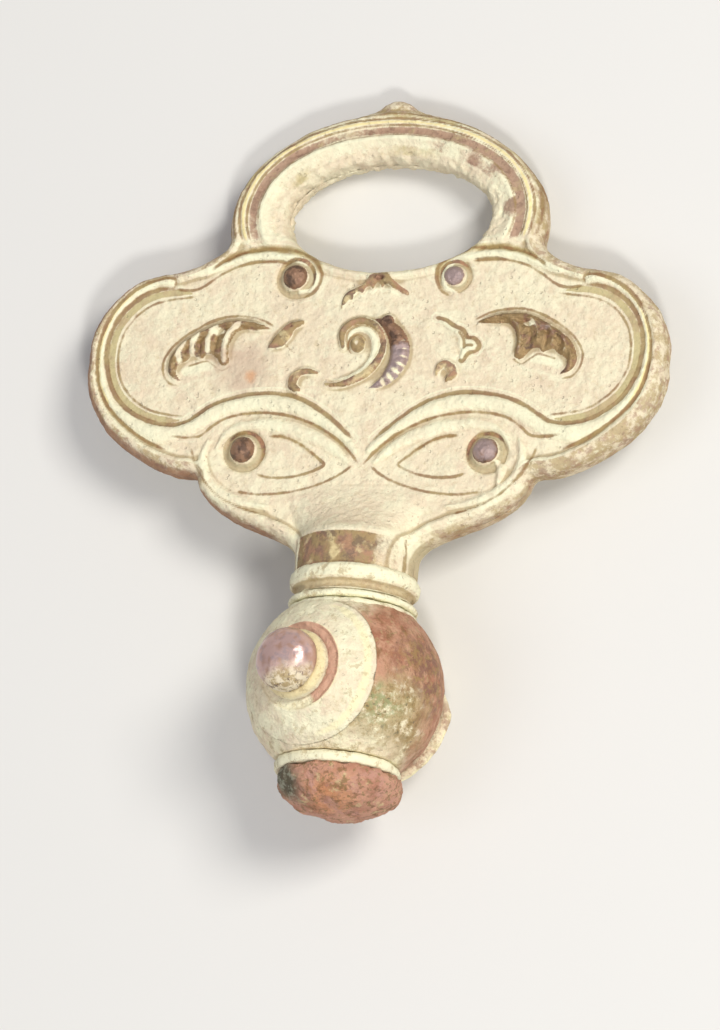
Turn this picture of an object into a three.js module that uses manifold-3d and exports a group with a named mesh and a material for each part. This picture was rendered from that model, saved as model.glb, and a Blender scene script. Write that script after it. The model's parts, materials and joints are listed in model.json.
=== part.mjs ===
// A small bronze clock key: a cast scrollwork bow with a hanging ring, which turns on a ball-shaped knuckle.
// The knuckle is a belt closed by two caps. A cross pin holds it together, with the winding shank's tang.
//
// Each piece is built in the key's own frame, in millimetres: X across the bow, Y along the key from the ball
// towards the ring, Z out of the bow's face. The origin is the middle of the ball. The knuckle's own frame
// has the same Y, and its Z is the cross pin. The whole key is then laid down on its back.
import * as THREE from 'three';
import { mergeVertices } from 'three/addons/utils/BufferGeometryUtils.js';
import Module from 'manifold-3d';

const wasm = await Module();
wasm.setup();
const { Manifold, Mesh: SolidMesh } = wasm;

// Driving dimensions, in millimetres

// Fits
const runningFit = 0.1;
const seatGap = 0.1;
const smallFaces = 12;
const faces = 28;
const neckFaces = 32;
const ballFaces = 36;

// Bow: its half width, and the levels of its widest place and of its ring's top
const bowHalfWidth = 20.0;
const bowWidestY = 22.3;
const ringTopY = 39.8;

// Bow: the hanging ring
const ringHalfWidth = 10.95;
const holeHalfWidth = 7.0;
const holeTopY = 36.2;
const holeBottomY = 28.5;
const ringThickness = 3.4;
const ringInnerWall = 1.5;
const ringEndTurn = THREE.MathUtils.degToRad(34);
const ringSinkTurn = THREE.MathUtils.degToRad(30);
const sillWidth = 1.0;
const finialRadius = 1.4;
const finialHeight = 1.4;

// Bow: the plate
const fieldThickness = 2.4;
const borderThickness = 3.2;
const borderWidth = 1.9;
const scrollWidth = 1.25;
const crestWidth = 1.1;
const crestThickness = 2.9;
const almondWidth = 0.55;
const almondThickness = 2.75;
const lobeTip = new THREE.Vector2(bowHalfWidth, bowWidestY);
const lobeStep = new THREE.Vector2(bowHalfWidth - 4.7, bowWidestY + 6.1);
const notch = new THREE.Vector2(bowHalfWidth - 8.2, bowWidestY - 7.8);
const shoulder = new THREE.Vector2(bowHalfWidth - 9.4, holeBottomY + 1.7);
const neckCorner = new THREE.Vector2(4.6, 9.6);

// Bow: the ornament in the field, a leaf on each side of a scroll, with smaller leaves and curls between them
const ornamentThickness = 3.0;
const spineThickness = 3.35;
const spineWidth = 0.6;
const stemWidth = 0.5;
const leafPlace = new THREE.Vector2(bowHalfWidth - 9.5, bowWidestY + 1.6);
const sprigPlace = new THREE.Vector2(leafPlace.x / 2 + 0.75, bowWidestY + 1.6);
const curlPlace = new THREE.Vector2(leafPlace.x / 2 - 0.65, bowWidestY - 1.4);
const scrollPlace = new THREE.Vector2(0, bowWidestY + 0.3);
const crescentRadius = 2.45;
const crescentInnerRadius = 2.85;
const crescentWidth = 1.45;
const crescentTip = 0.3;

// Bow: the domed eyes
const upperEye = { x: 5.45, y: holeBottomY - 0.55, radius: 0.85, thickness: 3.9 };
const lowerEye = { x: 8.4, y: notch.y + 1.4, radius: 1.05, thickness: 4.1 };

// Bow: the round neck, the bands sunk into its front and back, and its collar
const neckRadius = 4.0;
const neckBottomY = 7.4;
const neckRunOut = 3.0;
const panelHalfWidth = 3.45;
const panelDepth = 0.25;
const panelTopY = 9.75;
const collarRadius = 4.25;
const collarHeight = 1.1;
const coveRadius = 3.7;
const coveHeight = 0.65;

// Bow: the spigot that turns in the knuckle
const spigotRadius = 1.5;
const spigotHeadRadius = 2.1;
const spigotHeadHeight = 0.8;

// Washers on the spigot
const neckWasherHeight = 0.45;
const innerWasherRadius = 2.4;
const innerWasherHeight = 0.4;

// Knuckle: the ball, made of a belt and two caps
const ballRadius = 6.5;
const beltWidth = 8.6;
const beltBoreRadius = 3.9;
const beltCollarTopY = 5.15;
const spigotSeatY = 4.35;
const footY = -5.0;
const capWall = 1.15;
const capLipDepth = 0.9;
const capLipWall = 0.8;
const nearLand = { radius: 2.85, height: 5.65 };
const farLand = { radius: 2.3, height: 5.3 };
const nearRim = 0;
const farRim = 0.6;
const rimHeight = 0.45;

// Knuckle: the cross pin, its cup washer and its rove
const pinRadius = 0.95;
const pinHeadRadius = 1.9;
const pinHeadNeck = 0.45;
const pinHeadDome = 1.65;
const cupRadius = 2.45;
const cupHeight = 0.95;
const roveRadius = 2.1;
const roveHeight = 0.45;
const tailRadius = 1.5;
const tailHeight = 0.5;

// Knuckle: the ferrule and the stub of the winding shank
const ferruleRadius = 4.1;
const ferruleHeight = 0.75;
const tangSide = 3.2;
const tangTopY = 2.1;
const stubRadius = 4.1;
const stubRim = 0.35;
const stubDome = 2.6;
const stubOffset = 0.3;

// How the key lies, and how far the knuckle is turned on its spigot
const swivelTurn = THREE.MathUtils.degToRad(14);
const layTilt = THREE.MathUtils.degToRad(-7.0);

// Places that follow from the sizes above
const ringBand = ringHalfWidth - holeHalfWidth;
const ringTopBand = ringTopY - holeTopY;
const ringMidWidth = (ringHalfWidth + holeHalfWidth) / 2;
const ringCentreY = (holeTopY + holeBottomY) / 2;
const ringMidHeight = (ringTopY + holeTopY) / 2 - ringCentreY;
const neckWasherBottomY = beltCollarTopY + runningFit;
const coveBottomY = neckWasherBottomY + neckWasherHeight + runningFit;
const collarBottomY = coveBottomY + coveHeight;
const spigotBoreRadius = spigotRadius + runningFit;
const innerWasherTopY = spigotSeatY - runningFit;
const spigotHeadTopY = innerWasherTopY - innerWasherHeight - runningFit;
const spigotBottomY = spigotHeadTopY - spigotHeadHeight;
const pinHoleRadius = pinRadius + seatGap;
const beltHalf = beltWidth / 2;
const cupBottom = nearLand.height + seatGap;
const headBottom = cupBottom + cupHeight + seatGap;
const roveTop = -(farLand.height + seatGap);
const tailTop = roveTop - roveHeight - seatGap;
const tailBottom = tailTop - tailHeight;
const ferruleTopY = footY - seatGap;
const stubTopY = ferruleTopY - ferruleHeight - seatGap;

// Solids: a closed geometry becomes a manifold solid, and back

// Leaves only positions, merges shared corners and drops faces that have shrunk to a line at a pole.
function solidOf(geometry) {
  const bare = new THREE.BufferGeometry();
  bare.setAttribute('position', geometry.getAttribute('position').clone());
  if (geometry.index) bare.setIndex(geometry.index.clone());
  const merged = mergeVertices(bare, 1e-4);
  const corners = merged.index.array;
  const triangles = [];
  for (let i = 0; i < corners.length; i += 3) {
    const [a, b, c] = corners.slice(i, i + 3);
    if (a !== b && b !== c && c !== a) triangles.push(a, b, c);
  }
  const vertProperties = new Float32Array(merged.getAttribute('position').array);
  const made = (order) =>
    new Manifold(new SolidMesh({ numProp: 3, vertProperties, triVerts: new Uint32Array(order) }));
  const solid = made(triangles);
  return solid.volume() > 0 ? solid : made(triangles.reverse());
}

function geometryOf(solid) {
  const { vertProperties, triVerts } = solid.getMesh();
  const geometry = new THREE.BufferGeometry();
  geometry.setAttribute('position', new THREE.BufferAttribute(new Float32Array(vertProperties), 3));
  geometry.setIndex(new THREE.BufferAttribute(new Uint32Array(triVerts), 1));
  return geometry;
}

const join = (solids) => solids.reduce((whole, solid) => whole.add(solid));

// Forms that several pieces share

// A turned solid about Y, from [radius, height] pairs that start and end on the axis.
function turned(profile, segments = faces) {
  const points = profile.map(([radius, height]) => new THREE.Vector2(radius, height));
  return solidOf(new THREE.LatheGeometry(points, segments));
}

// A turned solid about Z instead, for what stands out of the bow's face or lies on the cross pin.
function turnedOnZ(profile, segments = faces) {
  return turned(profile, segments).rotate([90, 0, 0]);
}

const rod = (radius, from, to) => [[0, from], [radius, from], [radius, to], [0, to]];

// A flat outline given a thickness, half of it on each side of the bow's middle plane.
function slab(shape, thickness, curveSegments = 12) {
  const geometry = new THREE.ExtrudeGeometry(shape, { depth: thickness, bevelEnabled: false, curveSegments });
  return solidOf(geometry.translate(0, 0, -thickness / 2));
}

// A moulding drawn along a path in the bow's middle plane. The section's X is the height out of the plane,
// and its Y runs to the left of the path.
function moulding(section, points, steps) {
  const places = points.map(([x, y]) => new THREE.Vector3(x, y, 0));
  const path = new THREE.CatmullRomCurve3(places, false, 'centripetal');
  return solidOf(new THREE.ExtrudeGeometry(section, { steps, bevelEnabled: false, extrudePath: path }));
}

const mirrored = (solid) => solid.scale([-1, 1, 1]);
const bothSides = (solid) => [solid, mirrored(solid)];

// A section that is the same on both faces of the bow, from [height, offset] pairs of its upper half.
function twoFaced(upper) {
  const lower = upper.map(([height, offset]) => [-height, offset]).reverse();
  return new THREE.Shape([...upper, ...lower].map(([height, offset]) => new THREE.Vector2(height, offset)));
}

// A rounded bead
function beadSection(width, thickness) {
  const half = width / 2;
  const top = thickness / 2;
  return twoFaced([[top * 0.6, half], [top, half * 0.4], [top, -half * 0.4], [top * 0.6, -half]]);
}

// A narrow ridge that rises from the flat field
function ridgeSection(width, thickness) {
  const half = width / 2;
  const root = fieldThickness * 0.45;
  return twoFaced([[root, half], [thickness / 2, 0], [root, -half]]);
}

// Bow

// The rolled border of a lobe: a round outer roll and a thinner inner bead, with a fine groove between them.
function borderSection() {
  const top = borderThickness / 2;
  const field = fieldThickness / 2;
  const edge = borderWidth / 2;
  return twoFaced([
    [top * 0.4, -edge],
    [top * 0.85, -edge * 0.75],
    [top, -edge * 0.25],
    [field, edge * 0.15],
    [top * 0.92, edge * 0.5],
    [field * 0.9, edge],
  ]);
}

function lobeBorder() {
  const inset = borderWidth / 2;
  const points = [
    [lobeStep.x - 2.6, lobeStep.y - 0.75],
    [lobeStep.x, lobeStep.y - inset],
    [lobeTip.x - 1.9, lobeTip.y + 3.9],
    [lobeTip.x - inset, lobeTip.y + 0.3],
    [lobeTip.x - 1.6, lobeTip.y - 3.4],
    [lobeTip.x - 4.1, lobeTip.y - 5.9],
    [notch.x - 0.3, notch.y + 1.3],
  ];
  return moulding(borderSection(), points.reverse(), 16);
}

function lowerBorder() {
  const points = [
    [notch.x - 0.9, notch.y + 1.6],
    [notch.x - 0.75, notch.y - 0.3],
    [notch.x - 2.1, notch.y - 2.05],
    [notch.x - 4.6, notch.y - 3.1],
    [neckCorner.x - 0.9, neckCorner.y + 0.35],
  ];
  return moulding(beadSection(scrollWidth, borderThickness), points, 10);
}

// The scroll along the top edge, from the lobe's step to the curl round the upper eye
function topScroll() {
  const eye = upperEye;
  const points = [
    [lobeStep.x - 0.6, lobeStep.y - 0.75],
    [lobeStep.x - 2.6, lobeStep.y + 0.15],
    [shoulder.x - 0.4, shoulder.y - 1.0],
    [eye.x + 2.3, eye.y + 1.75],
    [eye.x, eye.y + 1.6],
    [eye.x - 1.35, eye.y + 0.5],
    [eye.x - 1.1, eye.y - 0.9],
    [eye.x + 0.1, eye.y - 1.45],
  ];
  return moulding(beadSection(scrollWidth, borderThickness), points, 14);
}

// The wave between the upper field and the two almonds
function crest() {
  const eye = lowerEye;
  const points = [
    [notch.x + 1.5, notch.y + 2.6],
    [eye.x + 2.6, eye.y + 2.35],
    [eye.x + 0.9, eye.y + 3.0],
    [eye.x - 1.2, eye.y + 3.4],
    [eye.x - 3.1, eye.y + 3.35],
    [eye.x - 4.9, eye.y + 2.5],
    [eye.x - 6.5, eye.y + 1.3],
    [0, eye.y - 0.2],
  ];
  return moulding(beadSection(crestWidth, crestThickness), points, 12);
}

// The pointed loop round the lower eye
function almond() {
  const eye = lowerEye;
  const points = [
    [eye.x - 7.7, eye.y - 0.65],
    [eye.x - 6.3, eye.y + 0.4],
    [eye.x - 4.8, eye.y + 1.2],
    [eye.x - 2.7, eye.y + 1.7],
    [eye.x - 0.7, eye.y + 1.75],
    [eye.x + 1.0, eye.y + 1.15],
    [eye.x + 1.45, eye.y - 0.2],
    [eye.x + 0.8, eye.y - 1.5],
    [eye.x - 1.0, eye.y - 2.2],
    [eye.x - 2.9, eye.y - 2.35],
    [eye.x - 4.8, eye.y - 2.0],
    [eye.x - 6.4, eye.y - 1.35],
    [eye.x - 7.6, eye.y - 0.8],
  ];
  return moulding(ridgeSection(almondWidth, almondThickness), points, 20);
}

function eyeBoss({ x, y, radius, thickness }) {
  const top = thickness / 2;
  const seat = borderThickness / 2;
  const dome = [[0, top], [radius * 0.6, top - 0.1], [radius * 0.92, (top + seat) / 2], [radius, seat]];
  const under = dome.map(([r, h]) => [r, -h]).reverse();
  return turnedOnZ([...dome, ...under], smallFaces).translate([x, y, 0]);
}

// An acanthus leaf: an arched back with a raised spine, whose lobes hang down and curl under at the far end
function acanthus() {
  const back = [[-3.5, 0.9], [-1.6, 1.45], [0.4, 1.2], [2.1, 0.35], [3.3, -0.9], [3.45, -2.1], [2.6, -2.7]];
  const lobes = [
    [2.9, -1.75], [2.3, -1.25], [1.9, -1.7], [1.45, -0.85], [0.95, -1.3], [0.5, -0.8],
    [0.2, -1.5], [-0.35, -1.65], [-0.8, -1.0], [-0.8, 0.0], [-1.5, 0.75],
  ];
  const outline = [...back, ...lobes].map(([x, y]) => new THREE.Vector2(x, y).add(leafPlace)).reverse();
  const spine = [[-2.9, 0.95], [-1.5, 1.1], [0.3, 0.85], [1.8, 0.1], [2.9, -1.0], [3.1, -2.1]];
  return slab(new THREE.Shape(outline), ornamentThickness).add(
    moulding(ridgeSection(spineWidth, spineThickness), placed(spine, leafPlace), 6));
}

const placed = (points, place) => points.map(([x, y]) => [x + place.x, y + place.y]);

function strand(points, place, steps) {
  return moulding(ridgeSection(stemWidth, ornamentThickness), placed(points, place), steps);
}

// The leaf spray beside the scroll, and the curl under it
const sprig = () => strand([[-0.95, 0.8], [-0.2, 0.35], [0.25, -0.1], [0.9, -0.75]], sprigPlace, 3);
const curl = () => strand([[-0.8, 0.15], [-0.1, 0.4], [0.45, 0.1], [0.4, -0.6]], curlPlace, 4);

// The arch of the palmette under the ring
function palmette() {
  const points = [[-1.9, -0.9], [-1.0, -0.25], [0, 0.15], [1.0, -0.25], [1.9, -0.9]];
  return strand(points, new THREE.Vector2(0, holeBottomY - 0.9), 4);
}

// The scroll in the middle: a stem that rises into a volute, with a crescent on its back
function centreScroll() {
  const { x, y } = scrollPlace;
  const innerTurn = Math.asin((crescentRadius - crescentTip) / crescentInnerRadius);
  const innerX = x + crescentRadius - crescentWidth - crescentInnerRadius;
  const crescent = new THREE.Shape();
  crescent.absarc(x + 0.2, y, crescentRadius, -Math.PI / 2, Math.PI / 2, false);
  crescent.absarc(innerX + 0.2, y, crescentInnerRadius, innerTurn, -innerTurn, true);
  const stem = [
    [-3.0, -2.25], [-1.8, -2.25], [-0.7, -1.85], [0.15, -1.2], [0.65, -0.2], [0.45, 0.95],
    [-0.15, 1.75], [-1.1, 2.0], [-1.8, 1.5], [-1.95, 0.6], [-1.4, -0.05],
  ];
  const bud = eyeBoss({ x: x - 1.05, y: y + 0.65, radius: 0.5, thickness: spineThickness });
  return join([slab(crescent, spineThickness, 8), strand(stem, scrollPlace, 14), bud]);
}

// The flat metal behind the mouldings
function fieldShape() {
  const shape = new THREE.Shape();
  const inset = borderWidth / 2;
  shape.moveTo(0, neckCorner.y - 0.8);
  shape.lineTo(neckCorner.x - 0.8, neckCorner.y - 0.8);
  shape.quadraticCurveTo(neckCorner.x, neckCorner.y + 1.2, notch.x - 4.6, notch.y - 3.1);
  shape.quadraticCurveTo(notch.x - 0.9, notch.y - 1.9, notch.x - 0.5, notch.y + 0.6);
  const side = lobeTip.x - inset;
  shape.bezierCurveTo(lobeTip.x - 3.4, notch.y + 0.9, side, notch.y + 4.6, side, lobeTip.y);
  const step = new THREE.Vector2(lobeStep.x, lobeStep.y - inset);
  shape.bezierCurveTo(side, lobeTip.y + 2.7, step.x + 2.1, step.y - 0.55, step.x, step.y);
  shape.lineTo(shoulder.x, shoulder.y - 0.7);
  shape.quadraticCurveTo(shoulder.x / 2, holeBottomY - 0.2, 0, holeBottomY - sillWidth / 2);
  const rightHalf = shape.getPoints(8);
  const leftHalf = rightHalf.map((point) => new THREE.Vector2(-point.x, point.y)).reverse();
  return new THREE.Shape([...rightHalf, ...leftHalf.slice(1, -1)]);
}

// The ring's section, from [outward, height] pairs, where outward runs from -1 at the hole to 1 outside: a
// rolled outer rim, a fine groove, a broad hollow band, a raised line and a bevel down to the hole's wall.
function ringSection() {
  const top = ringThickness / 2;
  const upper = [
    [1, top * 0.25],
    [0.9, top * 0.75],
    [0.62, top],
    [0.48, top * 0.88],
    [0.36, top * 0.96],
    [0.06, top * 0.86],
    [-0.2, top * 0.97],
    [-0.78, top * 0.7],
    [-1, ringInnerWall / 2],
  ];
  return [...upper, ...upper.map(([out, height]) => [out, -height]).reverse()];
}

// The ring is drawn round an oval, from inside one shoulder to inside the other, where it sinks in the plate.
function hangingRing(steps = 32) {
  const section = ringSection();
  const sides = section.length;
  const sweep = Math.PI + 2 * ringEndTurn;
  const positions = [];
  const index = [];
  for (let i = 0; i <= steps; i++) {
    const turn = (i / steps) * sweep - ringEndTurn;
    const nearEnd = Math.min(turn + ringEndTurn, Math.PI + ringEndTurn - turn) / ringSinkTurn;
    const sink = Math.min(1, fieldThickness / ringThickness * 0.95 + nearEnd);
    const band = THREE.MathUtils.lerp(ringBand, ringTopBand, Math.max(0, Math.sin(turn)) ** 2);
    const middle = new THREE.Vector2(ringMidWidth * Math.cos(turn), ringMidHeight * Math.sin(turn));
    const slope = new THREE.Vector2(Math.cos(turn) / ringMidWidth, Math.sin(turn) / ringMidHeight);
    const outward = slope.normalize();
    for (const [part, height] of section) {
      const out = (part * band) / 2;
      positions.push(middle.x + outward.x * out, ringCentreY + middle.y + outward.y * out, height * sink);
    }
  }
  for (let i = 0; i < steps; i++) {
    for (let j = 0; j < sides; j++) {
      const next = (j + 1) % sides;
      const [a, b, c, d] = [i * sides + j, i * sides + next, (i + 1) * sides + next, (i + 1) * sides + j];
      index.push(a, b, c, a, c, d);
    }
  }
  const outline = section.map(([out, height]) => new THREE.Vector2(out, height));
  const last = steps * sides;
  for (const [a, b, c] of THREE.ShapeUtils.triangulateShape(outline, [])) {
    index.push(a, c, b, last + a, last + b, last + c);
  }
  const geometry = new THREE.BufferGeometry();
  geometry.setAttribute('position', new THREE.Float32BufferAttribute(positions, 3));
  geometry.setIndex(index);
  return solidOf(geometry);
}

// The rolled edge of the plate at the bottom of the ring's hole
function sill() {
  const low = holeBottomY - sillWidth / 2;
  const rightHalf = [[0.37, 0.15], [0.74, 0.8], [1.05, 2.0]];
  const right = rightHalf.map(([part, rise]) => [part * holeHalfWidth, low + rise]);
  const left = right.map(([x, y]) => [-x, y]).reverse();
  const points = [...left, [0, low], ...right];
  return moulding(beadSection(sillWidth, borderThickness), points, 16);
}

function finial() {
  const base = ringTopY - 0.5;
  const tip = base + finialHeight;
  return turned([
    [0, base - 0.5],
    [finialRadius, base - 0.5],
    [finialRadius, base],
    [finialRadius * 0.55, base + finialHeight * 0.35],
    [finialRadius * 0.4, base + finialHeight * 0.75],
    [finialRadius * 0.2, tip - 0.08],
    [0, tip],
  ], smallFaces);
}

// The neck is round, and runs out into the plate's faces in a rounded cone. The plate goes on down its sides.
function neck() {
  const round = turned([
    [0, neckBottomY - 0.3],
    [neckRadius, neckBottomY - 0.3],
    [neckRadius, panelTopY + 0.15],
    [neckRadius * 0.93, panelTopY + neckRunOut * 0.17],
    [neckRadius * 0.7, panelTopY + neckRunOut * 0.52],
    [neckRadius * 0.42, panelTopY + neckRunOut * 0.85],
    [neckRadius * 0.22, panelTopY + neckRunOut],
    [0, panelTopY + neckRunOut],
  ], neckFaces);
  const sides = new THREE.Shape();
  sides.moveTo(-neckRadius, neckBottomY - 0.3);
  sides.lineTo(neckRadius, neckBottomY - 0.3);
  sides.lineTo(neckRadius, neckCorner.y - 1.3);
  sides.quadraticCurveTo(neckCorner.x - 0.3, neckCorner.y + 0.4, neckCorner.x + 1.6, neckCorner.y + 1.2);
  sides.lineTo(neckCorner.x, neckCorner.y + 3.6);
  sides.lineTo(-neckCorner.x, neckCorner.y + 3.6);
  sides.lineTo(-neckCorner.x - 1.6, neckCorner.y + 1.2);
  sides.quadraticCurveTo(-neckCorner.x + 0.3, neckCorner.y + 0.4, -neckRadius, neckCorner.y - 1.3);
  sides.closePath();
  return round.add(slab(sides, fieldThickness));
}

// Bands sunk into the neck's front and back
function neckPanels() {
  const sunk = neckRadius - panelDepth;
  const ring = turned(ringProfile(sunk, neckRadius + 1, neckBottomY, panelTopY), neckFaces);
  const width = slab(new THREE.Shape([
    new THREE.Vector2(-panelHalfWidth, neckBottomY - 1),
    new THREE.Vector2(panelHalfWidth, neckBottomY - 1),
    new THREE.Vector2(panelHalfWidth, panelTopY + 1),
    new THREE.Vector2(-panelHalfWidth, panelTopY + 1),
  ]), 4 * neckRadius);
  return ring.intersect(width);
}

// The collar, the cove below it and the spigot with its peened head are turned on the key's long axis.
function collarAndSpigot() {
  const top = collarBottomY + collarHeight;
  return turned([
    [0, spigotBottomY],
    [spigotHeadRadius * 0.7, spigotBottomY],
    [spigotHeadRadius, spigotBottomY + spigotHeadHeight * 0.45],
    [spigotHeadRadius, spigotHeadTopY],
    [spigotRadius, spigotHeadTopY],
    [spigotRadius, coveBottomY],
    [collarRadius - 0.2, coveBottomY],
    [coveRadius, coveBottomY + coveHeight * 0.5],
    [coveRadius + 0.15, collarBottomY - 0.05],
    [collarRadius - 0.2, collarBottomY],
    [collarRadius, collarBottomY + collarHeight * 0.3],
    [collarRadius, top - collarHeight * 0.3],
    [collarRadius - 0.3, top],
    [0, top],
  ]);
}

function bowCasting() {
  const borders = [lobeBorder(), lowerBorder(), topScroll(), crest(), almond()].flatMap(bothSides);
  const eyes = [eyeBoss(upperEye), eyeBoss(lowerEye)].flatMap(bothSides);
  const ornament = [...[acanthus(), sprig(), curl()].flatMap(bothSides), palmette(), centreScroll()];
  const plate = join([slab(fieldShape(), fieldThickness), ...borders, ...eyes, sill(), ...ornament]);
  return join([plate, hangingRing(), finial(), neck(), collarAndSpigot()]).subtract(neckPanels());
}

// Washers on the spigot

const neckWasher = () =>
  turned([
    [spigotBoreRadius, neckWasherBottomY],
    [collarRadius - 0.15, neckWasherBottomY],
    [collarRadius, neckWasherBottomY + neckWasherHeight / 2],
    [collarRadius - 0.15, neckWasherBottomY + neckWasherHeight],
    [spigotBoreRadius, neckWasherBottomY + neckWasherHeight],
    [spigotBoreRadius, neckWasherBottomY],
  ]);

function ringProfile(inner, outer, from, to) {
  return [[inner, from], [outer, from], [outer, to], [inner, to], [inner, from]];
}

function innerWasher() {
  const bottom = innerWasherTopY - innerWasherHeight;
  return turned(ringProfile(spigotBoreRadius, innerWasherRadius, bottom, innerWasherTopY));
}

// Knuckle

// Points of the ball's own outline between two heights on the pin's axis
function ballArc(from, to, count) {
  return Array.from({ length: count + 1 }, (_, i) => {
    const height = from + ((to - from) * i) / count;
    return [Math.sqrt(ballRadius ** 2 - height ** 2), height];
  });
}

function beltCasting() {
  const outer = ballArc(-beltHalf, beltHalf, 5);
  const boreFoot = [beltBoreRadius, -beltHalf];
  const ring = turnedOnZ([boreFoot, ...outer, [beltBoreRadius, beltHalf], boreFoot], ballFaces);
  const collarHeightInBall = beltCollarTopY - spigotSeatY;
  const collar = turned([
    [0, spigotSeatY - 0.2],
    [collarRadius - 0.1, spigotSeatY - 0.2],
    [collarRadius, spigotSeatY + collarHeightInBall * 0.5],
    [collarRadius, beltCollarTopY - 0.1],
    [collarRadius - 0.1, beltCollarTopY],
    [0, beltCollarTopY],
  ]);
  const spigotBore = turned(rod(spigotBoreRadius, 0, beltCollarTopY + 1));
  const spigotSeat = turned(rod(innerWasherRadius + runningFit, 0, spigotSeatY));
  const foot = turned(rod(ballRadius, footY - ballRadius, footY));
  const crown = turned(rod(ballRadius, beltCollarTopY, beltCollarTopY + ballRadius));
  const tangSlot = tangBlock(tangSide + 2 * seatGap, footY - ballRadius, 0);
  return ring.add(collar).subtract(join([spigotBore, spigotSeat, foot, crown, tangSlot]));
}

function tangBlock(side, from, to) {
  const geometry = new THREE.BoxGeometry(side, to - from, side);
  return solidOf(geometry.translate(0, (from + to) / 2, 0));
}

// A domed cap: a shell of the ball with a lip that fits inside the belt, a rim that may stand out past the
// belt, and a sunk flat land round the pin's hole.
function cap(land, rim) {
  const edge = beltHalf + seatGap;
  const edgeRadius = Math.sqrt(ballRadius ** 2 - edge ** 2);
  const aboveRim = edge + rimHeight * 2.2;
  const rimProfile = rim ? [[edgeRadius + rim * 0.85, edge], [edgeRadius + rim, edge + rimHeight * 0.4],
    [edgeRadius + rim * 0.7, edge + rimHeight]] : [];
  const lipRadius = beltBoreRadius - seatGap;
  const innerRadius = ballRadius - capWall;
  const crown = ballArc(rim ? aboveRim : edge, Math.sqrt(ballRadius ** 2 - land.radius ** 2), rim ? 3 : 4);
  const underLand = land.height - capWall;
  const innerRim = Math.sqrt(innerRadius ** 2 - underLand ** 2);
  return turned([
    [pinHoleRadius, underLand],
    [Math.min(innerRim, lipRadius - capLipWall), underLand],
    [lipRadius - capLipWall, edge],
    [lipRadius - capLipWall, edge - capLipDepth],
    [lipRadius, edge - capLipDepth],
    [lipRadius, edge],
    ...rimProfile,
    ...crown,
    [land.radius, land.height],
    [pinHoleRadius, land.height],
    [pinHoleRadius, underLand],
  ], ballFaces);
}

// The pin: a domed button head, a plain shank and a tail peened over the rove
const crossPin = () =>
  turned([
    [0, tailBottom],
    [tailRadius * 0.6, tailBottom],
    [tailRadius, tailBottom + tailHeight * 0.5],
    [tailRadius, tailTop],
    [pinRadius, tailTop],
    [pinRadius, headBottom],
    [pinHeadRadius, headBottom],
    [pinHeadRadius, headBottom + pinHeadNeck],
    ...[0.25, 0.5, 0.75].map((part) => {
      const turn = (part * Math.PI) / 2;
      return [pinHeadRadius * Math.cos(turn), headBottom + pinHeadNeck + pinHeadDome * Math.sin(turn)];
    }),
    [0, headBottom + pinHeadNeck + pinHeadDome],
  ]);

const cupWasher = () =>
  turned([
    [pinHoleRadius, cupBottom],
    [cupRadius, cupBottom],
    [cupRadius, cupBottom + cupHeight * 0.55],
    [cupRadius * 0.9, cupBottom + cupHeight * 0.9],
    [cupRadius * 0.82, cupBottom + cupHeight],
    [pinHoleRadius, cupBottom + cupHeight],
    [pinHoleRadius, cupBottom],
  ]);

const farRove = () => turned(ringProfile(pinHoleRadius, roveRadius, roveTop - roveHeight, roveTop));

function ferrule() {
  const bottom = ferruleTopY - ferruleHeight;
  const ring = turned([
    [0, bottom],
    [ferruleRadius - 0.1, bottom],
    [ferruleRadius, bottom + ferruleHeight * 0.4],
    [ferruleRadius - 0.12, ferruleTopY],
    [0, ferruleTopY],
  ]);
  return ring.subtract(tangBlock(tangSide + 2 * seatGap, bottom - 1, ferruleTopY + 1));
}

// The shank is snapped off short. What is left is its square tang and a lump swollen by rust.
function shankStub() {
  const rimY = stubTopY - stubRim;
  const dome = [0, 0.25, 0.5, 0.75].map((part) => {
    const turn = (part * Math.PI) / 2;
    return [stubRadius * Math.cos(turn), rimY - stubDome * Math.sin(turn)];
  });
  const tip = [0, rimY - stubDome];
  const lump = turned([tip, ...dome.reverse(), [stubRadius - 0.15, stubTopY], [0, stubTopY]]);
  const tang = tangBlock(tangSide, stubTopY - 1, tangTopY);
  const pinHole = turnedOnZ(rod(pinHoleRadius, -ballRadius, ballRadius));
  return lump.translate([stubOffset, 0, 0]).add(tang).subtract(pinHole);
}

// Materials

function finish(color, roughness, metalness) {
  return new THREE.MeshStandardMaterial({ color, roughness, metalness });
}

const crustedBronze = finish('#d9c9a3', 0.85, 0.1);
const bareBronze = finish('#8a5a3c', 0.6, 0.5);
const wornBronze = finish('#5c3d3a', 0.3, 0.7);
const rustedIron = finish('#9c5a48', 0.9, 0.1);

function piece(name, solid, material, turn = 0) {
  const mesh = new THREE.Mesh(geometryOf(solid), material);
  mesh.name = name;
  mesh.rotation.x = turn;
  return mesh;
}

// Assembly

const onPin = Math.PI / 2;
const onPinFarSide = -Math.PI / 2;

const bow = new THREE.Group();
bow.add(piece('bow_casting', bowCasting(), crustedBronze));
bow.add(piece('neck_washer', neckWasher(), bareBronze));
bow.add(piece('inner_washer', innerWasher(), bareBronze));

const knuckle = new THREE.Group();
knuckle.rotation.y = -swivelTurn;
knuckle.add(piece('knuckle_belt', beltCasting(), bareBronze));
knuckle.add(piece('near_cap', cap(nearLand, nearRim), crustedBronze, onPin));
knuckle.add(piece('far_cap', cap(farLand, farRim), crustedBronze, onPinFarSide));
knuckle.add(piece('cross_pin', crossPin(), wornBronze, onPin));
knuckle.add(piece('cup_washer', cupWasher(), crustedBronze, onPin));
knuckle.add(piece('far_rove', farRove(), bareBronze, onPin));
knuckle.add(piece('shank_ferrule', ferrule(), crustedBronze));
knuckle.add(piece('shank_stub', shankStub(), rustedIron));

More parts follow.
